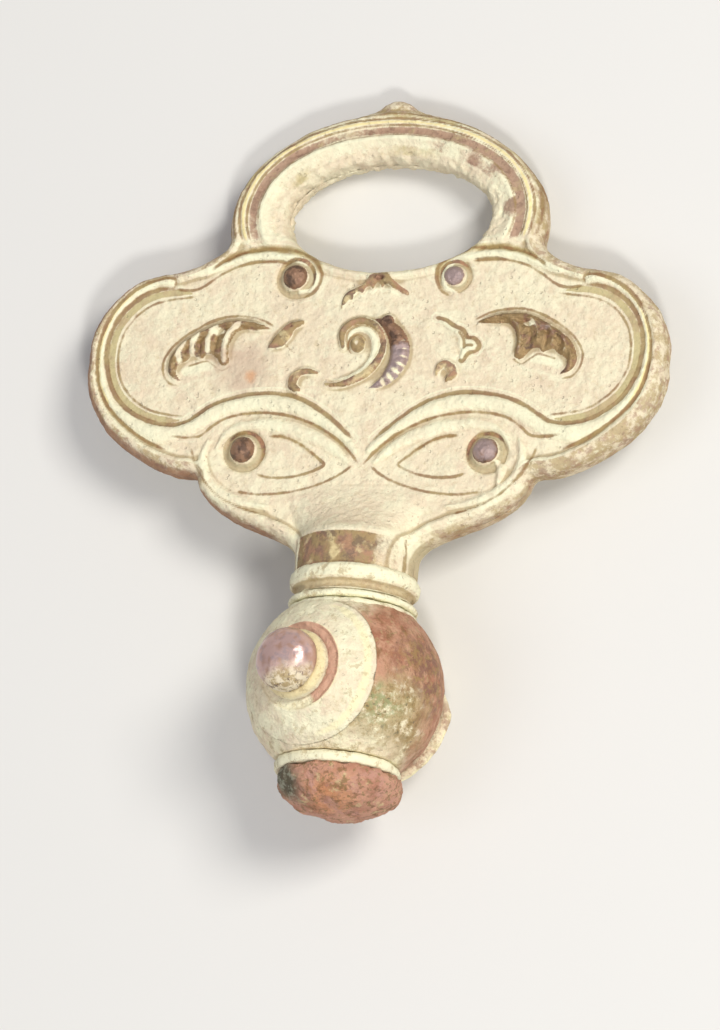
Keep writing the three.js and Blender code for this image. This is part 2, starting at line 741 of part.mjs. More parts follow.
const key = new THREE.Group();
key.add(bow, knuckle);
key.rotation.x = layTilt;

// Lays the key on the ground, with the middle of its outline over the origin.
function setDown(group) {
  const whole = new THREE.Group();
  whole.add(group);
  whole.updateMatrixWorld(true);
  const box = new THREE.Box3().setFromObject(group, true);
  const middle = box.getCenter(new THREE.Vector3());
  group.position.set(-middle.x, -middle.y, -box.min.z);
  return whole;
}

export default setDown(key);
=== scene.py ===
"""An old bronze clock key: a cast scrollwork bow with a hanging ring, on a ball-shaped swivelling knuckle.

Pieces are shaped in the key's own millimetres: X across the bow, Y along the key from the ball to the ring,
Z out of the bow's face, with the middle of the ball at zero. Each mesh is then set in its place on the frame.
"""
import json
import math

import bmesh
import bpy
import numpy as np
from mathutils import Matrix, Vector, noise

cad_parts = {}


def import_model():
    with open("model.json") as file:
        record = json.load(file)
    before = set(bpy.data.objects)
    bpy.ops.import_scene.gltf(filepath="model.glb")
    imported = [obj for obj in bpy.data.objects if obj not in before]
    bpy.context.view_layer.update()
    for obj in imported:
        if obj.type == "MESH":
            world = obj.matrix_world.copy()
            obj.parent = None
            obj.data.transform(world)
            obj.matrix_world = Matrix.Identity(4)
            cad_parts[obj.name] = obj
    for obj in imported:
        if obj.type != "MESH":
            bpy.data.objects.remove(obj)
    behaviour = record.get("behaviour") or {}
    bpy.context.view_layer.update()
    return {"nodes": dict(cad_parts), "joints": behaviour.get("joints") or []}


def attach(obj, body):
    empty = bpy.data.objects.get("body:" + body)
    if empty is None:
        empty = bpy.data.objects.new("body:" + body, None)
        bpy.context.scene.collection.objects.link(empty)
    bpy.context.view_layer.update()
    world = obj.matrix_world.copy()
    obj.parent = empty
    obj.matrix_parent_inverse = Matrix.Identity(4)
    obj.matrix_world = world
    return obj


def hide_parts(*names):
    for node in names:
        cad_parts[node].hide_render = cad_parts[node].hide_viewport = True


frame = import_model()

# Where the key lies: the swivel's own place and axis give the key's millimetres in the frame
MM = 0.001
SWIVEL_TURN = math.radians(14)
swivel = frame["joints"][0]
ball_middle = Vector(swivel["pos_m"])
along_key = Vector(swivel["axis"]).normalized()
across_key = Vector((1, 0, 0))
out_of_face = across_key.cross(along_key)
key_turn = Matrix((across_key, along_key, out_of_face)).transposed().to_4x4()
KEY = Matrix.Translation(ball_middle) @ key_turn @ Matrix.Scale(MM, 4)
KNUCKLE = KEY @ Matrix.Rotation(-SWIVEL_TURN, 4, "Y")
ABOUT_PIN = Matrix.Rotation(math.radians(90), 4, "X")


# The camera, from the ball's end and from the right, at the photograph's scale
PICTURE = (720, 1030)
MM_PER_PIXEL = 0.065
BALL_PIXEL = (345, 690)
CAMERA_AWAY = 500
TO_CAMERA = Vector((0.31, -0.284, 0.907)).normalized()
SENSOR = 36
CLIP_START = 0.01
CLIP_END = 10


def camera():
    right = (Vector((1, 0, 0)) - TO_CAMERA.x * TO_CAMERA).normalized()
    up = TO_CAMERA.cross(right)
    shift_right = (PICTURE[0] / 2 - BALL_PIXEL[0]) * MM_PER_PIXEL
    shift_up = (BALL_PIXEL[1] - PICTURE[1] / 2) * MM_PER_PIXEL
    target = right * shift_right + up * shift_up
    data = bpy.data.cameras.new("camera")
    data.sensor_width = SENSOR
    data.lens = SENSOR * CAMERA_AWAY / (PICTURE[1] * MM_PER_PIXEL)
    data.clip_start = CLIP_START
    data.clip_end = CLIP_END
    turned = Matrix((right, up, TO_CAMERA)).transposed().to_4x4()
    seat = key_turn @ Matrix.Translation(target + TO_CAMERA * CAMERA_AWAY) @ turned
    made = bpy.data.objects.new("camera", data)
    bpy.context.scene.collection.objects.link(made)
    made.matrix_world = Matrix.Translation(ball_middle) @ Matrix.Translation(
        seat.translation * MM) @ seat.to_3x3().to_4x4()
    bpy.context.scene.camera = made


def lamp(name, direction, away, size, power, colour):
    data = bpy.data.lights.new(name, "AREA")
    data.size = size
    data.energy = power
    data.color = colour
    made = bpy.data.objects.new(name, data)
    bpy.context.scene.collection.objects.link(made)
    pointing = Vector(direction).normalized()
    made.location = pointing * away
    made.rotation_mode = "QUATERNION"
    made.rotation_quaternion = pointing.to_track_quat("Z", "Y")


# Colours and materials

def tint(red, green, blue):
    """A colour given as a screen shows it, 0 to 255, as the shaders take it."""
    def straight(part):
        part = part / 255
        return part / 12.92 if part <= 0.04045 else ((part + 0.055) / 1.055) ** 2.4
    return (straight(red), straight(green), straight(blue), 1)


class Value:
    """A number in a material, so that sums on it add Math nodes."""

    def __init__(self, finish, socket):
        self.finish = finish
        self.socket = socket

    def maths(self, operation, *others):
        return self.finish.node("Math", dict(enumerate((self, *others))), operation=operation)

    def __add__(self, other):
        return self.maths("ADD", other)

    def __radd__(self, other):
        return self.maths("ADD", other)

    def __sub__(self, other):
        return self.maths("SUBTRACT", other)

    def __rsub__(self, other):
        return (self * -1) + other

    def __mul__(self, other):
        return self.maths("MULTIPLY", other)

    def over(self, other):
        return self.maths("MAXIMUM", other)

    def steep(self, low, high):
        """0 below low and 1 above high, with a soft start and end."""
        return self.finish.node(
            "MapRange", {0: self, 1: low, 2: high, 3: 0.0, 4: 1.0}, interpolation_type="SMOOTHSTEP")


class Finish:
    """A material under construction."""

    def __init__(self, name):
        self.material = bpy.data.materials.new(name)
        self.material.use_nodes = True
        self.tree = self.material.node_tree
        self.tree.nodes.clear()
        coordinates = self.node("TexCoord", output="Object")
        self.where = self.node("VectorMath", {0: coordinates, "Scale": 1 / MM}, operation="SCALE")

    def node(self, kind, values=None, output=0, **settings):
        made = self.tree.nodes.new("ShaderNode" + kind)
        stops = settings.pop("stops", None)
        for name, setting in settings.items():
            setattr(made, name, setting)
        if stops:
            set_stops(made.color_ramp, stops)
        for key, value in (values or {}).items():
            if isinstance(value, Value):
                self.tree.links.new(value.socket, made.inputs[key])
            else:
                made.inputs[key].default_value = value
        return Value(self, made.outputs[output]) if made.outputs else None

    def noise(self, scale, detail=4, roughness=0.55, where=None):
        return self.node(
            "TexNoise",
            {"Vector": where or self.where, "Scale": scale, "Detail": detail, "Roughness": roughness})

    def spots(self, scale, size):
        """Small round spots of that size, in parts of their spacing."""
        cells = self.node("TexVoronoi", {"Vector": self.where, "Scale": scale})
        return 1 - cells.steep(size * 0.6, size)

    def mark(self, name):
        return self.node("Attribute", output="Fac", attribute_name=name)

    def near(self, place, inner, outer, ragged=0.0, scale=1.0):
        """1 within the inner distance of a place in the frame, in millimetres, and 0 past the outer one."""
        distance = self.node(
            "VectorMath", {0: self.where, 1: tuple(place / MM)}, operation="DISTANCE", output="Value")
        if ragged:
            distance = distance + (self.noise(scale) - 0.5) * ragged
        return 1 - distance.steep(inner, outer)

    def mix(self, low, high, amount):
        return self.node("Mix", {0: amount, 6: low, 7: high}, output=2, data_type="RGBA")

    def flecked(self, colour, tone, grain, reach, amount=1.0):
        """The colour with a tone mixed in where a noise of that grain is high."""
        return self.mix(colour, tone, self.noise(*grain).steep(*reach) * amount)

    def bump(self, height, distance, strength=1.0):
        return self.node("Bump", {"Height": height, "Distance": distance * MM, "Strength": strength})

    def close(self, colour, roughness, metallic=0.0, normal=None, specular=0.35):
        values = {
            "Base Color": colour, "Roughness": roughness,
            "Metallic": metallic, "Specular IOR Level": specular}
        if normal:
            values["Normal"] = normal
        shader = self.node("BsdfPrincipled", values)
        self.node("OutputMaterial", {"Surface": shader})
        return self.material


def set_stops(ramp, stops):
    while len(ramp.elements) < len(stops):
        ramp.elements.new(1)
    for element, (position, colour) in zip(ramp.elements, stops):
        element.position = position
        element.color = colour


# The crust's tones and the bare metal's
FIELD = tint(238, 223, 192)
FIELD_PINK = tint(230, 208, 180)
FIELD_PALE = tint(247, 240, 206)
FIELD_DULL = tint(220, 202, 168)
RIDGE = tint(247, 243, 209)
OLIVE = tint(196, 180, 128)
OLIVE_BROWN = tint(158, 132, 84)
GROOVE_BROWN = tint(142, 104, 66)
BRIGHT_LINE = tint(250, 232, 170)
WORN = tint(148, 110, 86)
WORN_DEEP = tint(90, 62, 50)
WORN_OLIVE = tint(160, 132, 84)
SILVER_VIOLET = tint(176, 156, 158)
PURPLE = tint(172, 134, 112)
PURPLE_DEEP = tint(138, 98, 80)
ROLL_BROWN = tint(168, 122, 92)
ROLL_OLIVE = tint(186, 162, 118)
COPPER = tint(196, 146, 118)
BRICK = tint(174, 120, 92)
GREEN = tint(160, 164, 118)
DARK_GREEN = tint(92, 92, 72)
YELLOW_CREAM = tint(238, 218, 164)
BELT_PALE = tint(206, 162, 132)
PIN_VIOLET = tint(206, 172, 164)
PIN_BROWN = tint(192, 152, 134)
LAND_PINK_AND_PAINTED_LIGHT = tint(214, 164, 140)
STUB_LIGHT = tint(228, 174, 146)
STUB_BROWN = tint(204, 146, 120)
STUB_GREY = tint(164, 168, 146)
STUB_PINK = tint(222, 168, 148)
STUB_ORANGE = tint(226, 158, 104)
STAIN = tint(200, 172, 150)
ORANGE = tint(214, 150, 100)
FLOOR = tint(226, 224, 220)


def crust_colour(finish):
    """The pale burial crust: a warm field with paler and pinker clouds, fine mottling and brown specks."""
    clouds = finish.noise(0.35, 5, 0.6)
    grain = finish.noise(3.2, 6, 0.65)
    mottle = finish.noise(1.7, 6, 0.7)
    colour = finish.mix(FIELD, FIELD_PALE, clouds.steep(0.42, 0.62))
    colour = finish.flecked(colour, FIELD_PINK, (0.8, 5, 0.6), (0.48, 0.7), 0.75)
    colour = finish.mix(colour, FIELD_DULL, mottle.steep(0.5, 0.66) * 0.6)
    colour = finish.flecked(colour, OLIVE, (2.6, 5, 0.7), (0.55, 0.68), 0.4)
    colour = finish.mix(colour, RIDGE, grain.steep(0.53, 0.66) * 0.65)
    colour = finish.flecked(colour, RIDGE, (0.75, 7, 0.72), (0.5, 0.6), 0.7)
    specks = finish.spots(2.4, 0.16) * finish.noise(0.7).steep(0.48, 0.62)
    return finish.mix(colour, ROLL_BROWN, specks * 0.5)


def crust_bump(finish):
    grain = finish.noise(3.2, 8, 0.65)
    lumps = finish.noise(0.9, 6, 0.6)
    pits = finish.spots(2.0, 0.22) * finish.noise(0.5).steep(0.45, 0.6)
    return finish.bump(grain * 0.5 + lumps * 1.3 - pits * 0.3, 0.22, 1.0)


def worn_colour(finish):
    """Bare rubbed bronze: brown to nearly black, greenish on the leaves, and silvery where touched most and
    where the violet mark carries a painted highlight.
    """
    dark = finish.flecked(WORN, WORN_DEEP, (1.6, 5), (0.47, 0.62))
    dark = finish.flecked(dark, PURPLE_DEEP, (2.6, 4), (0.55, 0.68), 0.7)
    greenish = finish.noise(1.5, 5).steep(0.36, 0.52) * finish.mark("green")
    dark = finish.mix(dark, WORN_OLIVE, greenish * 0.9)
    silver = (finish.mark("violet") + (finish.noise(2.4, 5) - 0.5) * 0.9).steep(0.5, 0.85)
    return finish.mix(dark, SILVER_VIOLET, silver * 0.75)


def bow_finish():
    """The bow's crust: cream on its field and ridges, with a painted highlight on the ridges, brown in its
    lines, bare and dark where rubbed, and brown at its outer edge, partly painted shade and reflection.
    """
    finish = Finish("crusted bow")
    ragged = (finish.noise(2.2, 6, 0.65) - 0.5) * 0.75
    fine = (finish.noise(5.0, 5, 0.6) - 0.5) * 0.8
    colour = crust_colour(finish)
    colour = finish.mix(colour, FIELD_PINK, finish.mark("field") * 0.25)
    # Pale cream crust on the ridges and moulding tops, with a painted highlight there.
    ridge = (finish.mark("ridge") + ragged * 0.5).steep(0.35, 0.75)
    colour = finish.mix(colour, RIDGE, ridge * 0.85)
    olive = (finish.mark("olive") + ragged * 0.7 + fine * 0.3).steep(0.35, 0.85)
    olive_tone = finish.flecked(OLIVE, ROLL_OLIVE, (0.8, 6, 0.65), (0.46, 0.6))
    colour = finish.mix(colour, olive_tone, olive * 0.85)
    cavity = (finish.mark("cavity") + ragged * 0.5).steep(0.35, 0.9)
    colour = finish.mix(colour, OLIVE_BROWN, cavity * 0.6)
    rim = (finish.mark("rim") + ragged * 0.7 + fine * 0.3).steep(0.4, 0.8)
    rolled = finish.flecked(ROLL_OLIVE, FIELD, (0.8, 6, 0.7), (0.44, 0.58))
    rolled = finish.flecked(rolled, PURPLE, (1.3, 6, 0.7), (0.49, 0.61), 0.8)
    rolled = finish.flecked(rolled, RIDGE, (2.0, 6, 0.65), (0.56, 0.66), 0.6)
    colour = finish.mix(colour, rolled, rim * 0.8)
    # The shade mark: brown on the outermost edge, partly painted shade and a painted reddish reflection.
    outermost = (finish.mark("shade") + ragged * 0.6 + fine * 0.3).steep(0.5, 0.85)
    edge_colour_with_reflection = finish.flecked(ROLL_BROWN, PURPLE_DEEP, (1.2, 6, 0.65), (0.48, 0.62))
    colour = finish.mix(colour, edge_colour_with_reflection, outermost * 0.8)
    purple = (finish.mark("purple") + ragged * 0.9 + fine * 0.5).steep(0.4, 0.75)
    band = finish.flecked(PURPLE, PURPLE_DEEP, (1.5, 6, 0.65), (0.5, 0.64))
    band = finish.flecked(band, ROLL_OLIVE, (0.9, 6, 0.65), (0.54, 0.66), 0.8)
    colour = finish.mix(colour, band, purple * 0.85)
    patchy = finish.noise(0.45, 5, 0.6) * 1.4 + 0.3
    yellow = (finish.mark("yellow") * patchy + ragged * 0.6).steep(0.4, 0.85)
    colour = finish.mix(colour, BRIGHT_LINE, yellow * 0.9)
    broken = finish.noise(0.55, 5, 0.6) * 1.3 + 0.35
    line = (finish.mark("line") * broken + ragged * 0.55 + fine * 0.3).steep(0.38, 0.85)
    lined = finish.flecked(OLIVE_BROWN, GROOVE_BROWN, (0.9, 5), (0.42, 0.6))
    colour = finish.mix(colour, lined, line * 0.85)
    tan = (finish.mark("tan") + ragged * 0.5 + fine * 0.4).steep(0.4, 0.75)
    browned = finish.flecked(ROLL_BROWN, PURPLE_DEEP, (1.5, 6, 0.65), (0.46, 0.6))
    browned = finish.flecked(browned, OLIVE_BROWN, (0.9, 4), (0.44, 0.58), 0.9)
    browned = finish.flecked(browned, WORN_DEEP, (0.7, 6, 0.7), (0.5, 0.6), 0.7)
    browned = finish.flecked(browned, YELLOW_CREAM, (0.8, 4, 0.6), (0.52, 0.66), 0.7)
    colour = finish.mix(colour, browned, tan * 0.9)
    worn = (finish.mark("worn") + ragged * 0.4 + fine * 0.35).steep(0.42, 0.62)
    colour = finish.mix(colour, worn_colour(finish), worn * 0.95)
    stain = finish.near(KEY @ Vector((-8.9, 21.7, 1.2)), 0.6, 2.8, 2.0, 0.7)
    colour = finish.mix(colour, STAIN, stain * (1 - worn) * 0.6)
    spot = finish.near(KEY @ Vector((-8.3, 21.1, 1.2)), 0.15, 0.6, 0.5, 1.5)
    colour = finish.mix(colour, ORANGE, spot * 0.6)
    roughness = 0.8 - worn * 0.46 - purple * 0.14 - tan * 0.12
    return finish.close(colour, roughness, worn * 0.35, crust_bump(finish))


def turned_finish(name, tones, bright=RIDGE):
    """A turned piece of the neck: crust with brown and olive wear on it, and a painted highlight on its
    raised parts.
    """
    finish = Finish(name)
    ragged = (finish.noise(2.2, 6, 0.65) - 0.5) * 0.8
    colour = crust_colour(finish)
    # The bright colour on the raised parts is a painted highlight over the pale crust.
    colour = finish.mix(colour, bright, (finish.mark("ridge") + ragged * 0.6).steep(0.4, 0.8) * 0.8)
    flecks = finish.noise(1.3, 7, 0.7).steep(0.52, 0.62)
    colour = finish.mix(colour, ROLL_OLIVE, flecks * 0.6)
    cavity = (finish.mark("cavity") + ragged).steep(0.35, 0.8)
    hollow = finish.flecked(tones, GROOVE_BROWN, (0.8, 7, 0.72), (0.52, 0.64), 0.5)
    colour = finish.mix(colour, hollow, cavity * 0.7)
    return finish.close(colour, 0.8, 0.0, crust_bump(finish))


def belt_finish():
    """The ball's belt: red-brown metal, streaked dark, with a green and cream patch low on its right."""
    finish = Finish("bare belt")
    stretched = finish.node("Mapping", {"Vector": finish.where, "Scale": (1.0, 0.35, 1.0)})
    streaks = finish.noise(1.5, 7, 0.65, stretched)
    colour = finish.flecked(COPPER, BRICK, (0.9, 6, 0.65), (0.46, 0.6))
    colour = finish.flecked(colour, BELT_PALE, (1.3, 6, 0.65), (0.48, 0.64), 0.8)
    colour = finish.mix(colour, GROOVE_BROWN, streaks.steep(0.5, 0.62) * 0.75)
    colour = finish.flecked(colour, ROLL_OLIVE, (2.2, 6, 0.7), (0.55, 0.65), 0.7)
    limb = finish.near(KEY @ Vector((6.4, 0.5, 2.0)), 1.4, 4.2, 2.4, 0.8)
    dark_limb = finish.flecked(PURPLE_DEEP, WORN_OLIVE, (1.6, 6, 0.7), (0.46, 0.58))
    colour = finish.mix(colour, dark_limb, limb * finish.noise(1.2, 6, 0.7).steep(0.42, 0.54) * 0.85)
    patch = finish.near(KEY @ Vector((4.0, -4.4, 3.9)), 2.8, 5.2, 3.2, 0.6)
    mottled = finish.flecked(crust_colour(finish), ROLL_OLIVE, (1.3, 6, 0.7), (0.38, 0.52), 0.9)
    mottled = finish.flecked(mottled, OLIVE_BROWN, (1.0, 7, 0.72), (0.48, 0.57), 0.8)
    mottled = finish.flecked(mottled, DARK_GREEN, (2.6, 6, 0.7), (0.56, 0.66), 0.7)
    greenest = finish.near(KEY @ Vector((4.2, -2.2, 4.7)), 0.2, 2.6, 2.6, 0.9)
    mottled = finish.mix(mottled, GREEN, greenest * finish.noise(1.9, 6, 0.7).steep(0.45, 0.58) * 0.8)
    colour = finish.mix(colour, mottled, patch)
    low = finish.near(KEY @ Vector((-0.5, -6.2, 1.5)), 4.0, 6.2, 2.0, 0.7)
    left = finish.near(KEY @ Vector((-5.4, 0.6, 1.5)), 4.4, 5.6, 2.0, 0.7)
    crown = finish.near(KEY @ Vector((-1.4, 5.2, 3.6)), 3.0, 4.6, 1.8, 0.9)
    speckled = finish.flecked(crust_colour(finish), ROLL_OLIVE, (1.5, 7, 0.72), (0.52, 0.62), 0.7)
    colour = finish.mix(colour, speckled, low.over(left).over(crown))
    roughness = 0.58 + patch * 0.2 + low * 0.2
    return finish.close(colour, roughness, 0.15, crust_bump(finish))


def cap_finish():
    finish = Finish("crusted cap")
    colour = crust_colour(finish)
    ragged = (finish.noise(2.0, 6, 0.65) - 0.5) * 0.9
    # The ridge mark: a painted highlight along the cap's edge and round its land, over the pale crust.
    ridge = (finish.mark("ridge") + ragged * 0.9).steep(0.4, 0.8)
    colour = finish.mix(colour, finish.mix(RIDGE, BRIGHT_LINE, 0.45), ridge * 0.8)
    # The sunk land's pink-brown, lightened as painted light against the shade that falls in the sunk land.
    land = finish.mark("land")
    colour = finish.mix(colour, LAND_PINK_AND_PAINTED_LIGHT, (land + ragged * 0.3).steep(0.4, 0.6) * 0.9)
    limb = finish.near(KEY @ Vector((-5.6, -3.4, 0.4)), 1.0, 3.6, 2.6, 0.9)
    speckled = finish.flecked(ROLL_BROWN, WORN, (2.4, 6), (0.5, 0.64))
    amount = limb * finish.noise(1.7, 6, 0.65).steep(0.44, 0.56)
    colour = finish.mix(colour, speckled, amount * 0.8)
    rubbed = finish.near(KEY @ Vector((4.5, -3.0, -3.5)), 2.5, 5.0, 2.0, 0.7) * finish.noise(
        0.9, 6, 0.7).steep(0.46, 0.58)
    colour = finish.mix(colour, PURPLE, rubbed * 0.75)
    flecks = finish.noise(1.5, 7, 0.72).steep(0.55, 0.64)
    colour = finish.mix(colour, ROLL_OLIVE, flecks * 0.55)
    return finish.close(colour, 0.78, 0.0, crust_bump(finish))


def pin_finish():
    """The pin's button: purple-brown and rubbed on top, with cream, olive and brown crust low on it."""
    finish = Finish("worn pin")
    colour = finish.flecked(PIN_VIOLET, PIN_BROWN, (1.1, 5), (0.46, 0.62))
    colour = finish.flecked(colour, SILVER_VIOLET, (1.7, 5, 0.6), (0.5, 0.64), 0.7)
    lower = finish.near(KNUCKLE @ Vector((0.9, -2.9, 7.6)), 1.7, 3.0, 1.3, 1.3)
    crust = finish.flecked(FIELD, ROLL_OLIVE, (1.6, 6, 0.65), (0.44, 0.58))
    crust = finish.flecked(crust, WORN_DEEP, (2.6, 6, 0.65), (0.55, 0.64), 0.75)
    colour = finish.mix(colour, crust, lower)
    rubbed = finish.bump(finish.noise(1.2, 5, 0.6) * 0.6 + lower * finish.noise(2.6, 7, 0.7), 0.14, 0.9)
    return finish.close(colour, 0.3 + lower * 0.45, 0.4 - lower * 0.4, rubbed, 0.6)


def stub_finish():
    """The rusted stub: brick and pink scale with orange, and a green-grey patch."""
    finish = Finish("rusted stub")
    colour = finish.flecked(STUB_LIGHT, STUB_BROWN, (0.55, 6, 0.65), (0.44, 0.6))
    colour = finish.flecked(colour, STUB_PINK, (1.0, 6, 0.7), (0.5, 0.62), 0.85)
    warm = finish.near(KEY @ Vector((0.6, -7.6, 2.6)), 0.8, 3.0, 2.0, 0.9)
    colour = finish.mix(colour, STUB_ORANGE, warm * finish.noise(0.9, 6, 0.7).steep(0.42, 0.56) * 0.6)
    colour = finish.flecked(colour, GROOVE_BROWN, (1.6, 7, 0.7), (0.52, 0.62), 0.7)
    colour = finish.flecked(colour, YELLOW_CREAM, (1.2, 7, 0.7), (0.57, 0.65), 0.7)
    colour = finish.flecked(colour, OLIVE_BROWN, (1.9, 6, 0.7), (0.54, 0.62), 0.75)
    patch = finish.near(KEY @ Vector((-2.7, -6.9, 2.6)), 0.7, 2.1, 1.6, 0.8)
    green = finish.flecked(DARK_GREEN, STUB_GREY, (1.8, 6, 0.7), (0.48, 0.6))
    colour = finish.mix(colour, green, patch * 0.9)
    grain = finish.noise(2.2, 9, 0.7)
    return finish.close(colour, 0.8, 0.05, finish.bump(grain, 0.5, 0.9))


def plain_bronze_finish():
    finish = Finish("plain bronze")
    colour = finish.flecked(COPPER, WORN, (0.8, 6), (0.42, 0.64))
    colour = finish.flecked(colour, GREEN, (1.2, 6), (0.58, 0.68), 0.7)
    return finish.close(colour, 0.55, 0.4, crust_bump(finish))


def floor_finish():
    finish = Finish("pale floor")
    return finish.close(FLOOR, 0.9)


# Meshes

def add_piece(bm, name, place, finish, body, stands_for, marks=None):
    """Sets a piece shaped in millimetres in its place on the frame, with its object at the origin."""
    mesh = bpy.data.meshes.new(name)
    bm.to_mesh(mesh)
    bm.free()
    mesh.transform(place)
    mesh.polygons.foreach_set("use_smooth", [True] * len(mesh.polygons))
    mesh.materials.append(finish)
    made = bpy.data.objects.new(name, mesh)
    bpy.context.scene.collection.objects.link(made)
    for mark, values in (marks or {}).items():
        layer = mesh.attributes.new(mark, "FLOAT", "POINT")
        layer.data.foreach_set("value", np.asarray(values, dtype=np.float32))
    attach(made, body)
    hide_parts(stands_for)


def smooth_path(points, samples=8, closed=False):
    """A smooth line through the points."""
    knots = [Vector(point) for point in points]
    if closed:
        knots = [knots[-1], *knots, knots[0], knots[1]]
    else:
        knots = [2 * knots[0] - knots[1], *knots, 2 * knots[-1] - knots[-2]]
    line = []
    for before, start, end, after in zip(knots, knots[1:], knots[2:], knots[3:]):
        for step in range(samples):
            t = step / samples
            line.append(0.5 * ((2 * start) + (end - before) * t
                               + (2 * before - 5 * start + 4 * end - after) * t ** 2
                               + (3 * start - before - 3 * end + after) * t ** 3))
    if not closed:
        line.append(knots[-2])
    return line


def spun(profile, steps):
    """A turned piece about Y from a closed or open profile of (radius, height) points."""
    bm = bmesh.new()
    verts = [bm.verts.new((radius, height, 0)) for radius, height in profile]
    for a, b in zip(verts, verts[1:]):
        bm.edges.new((a, b))
    if profile[0][0] > 0 or profile[-1][0] > 0:
        bm.edges.new((verts[-1], verts[0]))
    bmesh.ops.spin(
        bm, geom=bm.verts[:] + bm.edges[:], cent=(0, 0, 0), axis=(0, 1, 0), dvec=(0, 0, 0),
        angle=math.tau, steps=steps, use_merge=True, use_duplicate=False)
    bmesh.ops.remove_doubles(bm, verts=bm.verts[:], dist=1e-4)
    bmesh.ops.recalc_face_normals(bm, faces=bm.faces[:])
    return bm


def turned(points, steps):
    """A turned piece whose profile has its long edges divided."""
    return spun(fine_profile(points), steps)


def fine_profile(points, spacing=0.12):
    """The profile with more points on its long edges, so that the surface can be roughened."""
    fine = []
    for (r0, h0), (r1, h1) in zip(points, points[1:]):
        count = max(1, round(math.hypot(r1 - r0, h1 - h0) / spacing))
        fine += [(r0 + (r1 - r0) * i / count, h0 + (h1 - h0) * i / count) for i in range(count)]
    fine.append(points[-1])
    return fine


def roughen(bm, amount, scale, seed=0.0, only=None):
    """Moves the surface in and out a little, as a worn and crusted casting's is."""
    bm.normal_update()
    shift = Vector((seed, seed * 0.7, -seed))
    moves = []
    for vert in bm.verts:
        if only is None or only(vert.co):
            swell = noise.fractal((vert.co + shift) * scale, 0.6, 2.0, 3)
            moves.append((vert, vert.normal * swell * amount))
    for vert, move in moves:
        vert.co += move


def trim(bm, place, out):
    """Cuts off what lies on one side of a plane, and closes the cut."""
    geometry = bm.verts[:] + bm.edges[:] + bm.faces[:]
    cut = bmesh.ops.bisect_plane(bm, geom=geometry, plane_co=place, plane_no=out, clear_outer=True)
    edges = [item for item in cut["geom_cut"] if isinstance(item, bmesh.types.BMEdge)]
    bmesh.ops.triangle_fill(bm, edges=edges, use_beauty=True)
    bmesh.ops.recalc_face_normals(bm, faces=bm.faces[:])


# The bow: its outline, right half, from the neck up, and the oval hole of its ring
NECK_FOOT_Y = 6.5
OUTLINE = [
    (3.95, NECK_FOOT_Y), (3.98, 7.4), (3.98, 8.4), (4.25, 9.2), (5.1, 9.9), (6.6, 10.55), (8.8, 11.45),
    (10.3, 12.45), (11.15, 13.4), (11.6, 14.35), (13.1, 14.55), (14.7, 15.1), (15.9, 15.75), (17.1, 16.55),
    (18.2, 17.5), (19.0, 18.6), (19.6, 19.8), (19.9, 21.1), (19.92, 22.4), (19.9, 23.6), (19.55, 24.9),
    (18.95, 26.0), (18.1, 26.95), (17.1, 27.8), (16.2, 28.25), (15.2, 28.5), (14.1, 28.65), (13.0, 28.95),
    (12.0, 29.4), (11.2, 29.95), (10.85, 30.6), (10.95, 31.7), (10.85, 32.9), (10.5, 34.1), (9.8, 35.3),
    (8.8, 36.4), (7.5, 37.45), (5.95, 38.35), (4.3, 39.02), (2.8, 39.4), (1.9, 39.65), (1.3, 39.95),
    (0.7, 40.4), (0.0, 40.6)]
HOLE_MIDDLE = (0.15, 32.35)
HOLE_HALF = (7.1, 3.85)
RING_SIDE = 3.85
RING_CROWN = 3.45
BLANK = 0.4
TRIMMED = 0.06
GRAIN = 0.101
SEAM_HALF = 0.3
SKIN_PART = 0.93
CRUST_SWELLS = ((0.05, 0.5, 0), (0.025, 2.2, 7))
BORE_SWELL = (0.15, 1.5, 11)


def both_halves(half):
    """A line on the right half, and its mirror image going back."""
    return half + [(-x, y) for x, y in reversed(half) if x > 0]


outline = smooth_path(both_halves(OUTLINE), 4)
hole_line = [
    Vector((HOLE_MIDDLE[0] + HOLE_HALF[0] * math.cos(turn), HOLE_MIDDLE[1] + HOLE_HALF[1] * math.sin(turn)))
    for turn in [math.tau * i / 96 for i in range(96)]]


def bow_blank():
    """A thin blank of the bow's front half, with its ring's hole: small even faces on a plain back."""
    bm = bmesh.new()
    for line in (outline, hole_line):
        verts = [bm.verts.new((point[0], point[1], 0)) for point in line]
        for a, b in zip(verts, verts[1:] + verts[:1]):
            bm.edges.new((a, b))
    bmesh.ops.remove_doubles(bm, verts=bm.verts[:], dist=1e-3)
    bmesh.ops.triangle_fill(bm, edges=bm.edges[:], use_beauty=True)
    grown = bmesh.ops.extrude_face_region(bm, geom=bm.faces[:])
    top = [item for item in grown["geom"] if isinstance(item, bmesh.types.BMVert)]
    bmesh.ops.translate(bm, verts=top, vec=(0, 0, BLANK))
    bmesh.ops.recalc_face_normals(bm, faces=bm.faces[:])
    mesh = bpy.data.meshes.new("bow blank")
    bm.to_mesh(mesh)
    bm.free()
    blank = bpy.data.objects.new("bow blank", mesh)
    bpy.context.scene.collection.objects.link(blank)
    remesh = blank.modifiers.new("even skin", "REMESH")
    remesh.mode = "VOXEL"
    remesh.voxel_size = GRAIN
    graph = bpy.context.evaluated_depsgraph_get()
    skin = bmesh.new()
    skin.from_mesh(blank.evaluated_get(graph).to_mesh())
    bpy.data.objects.remove(blank)
    trim(skin, (0, 0, TRIMMED), (0, 0, -1))
    bmesh.ops.translate(skin, verts=skin.verts[:], vec=(0, 0, -TRIMMED))
    return skin


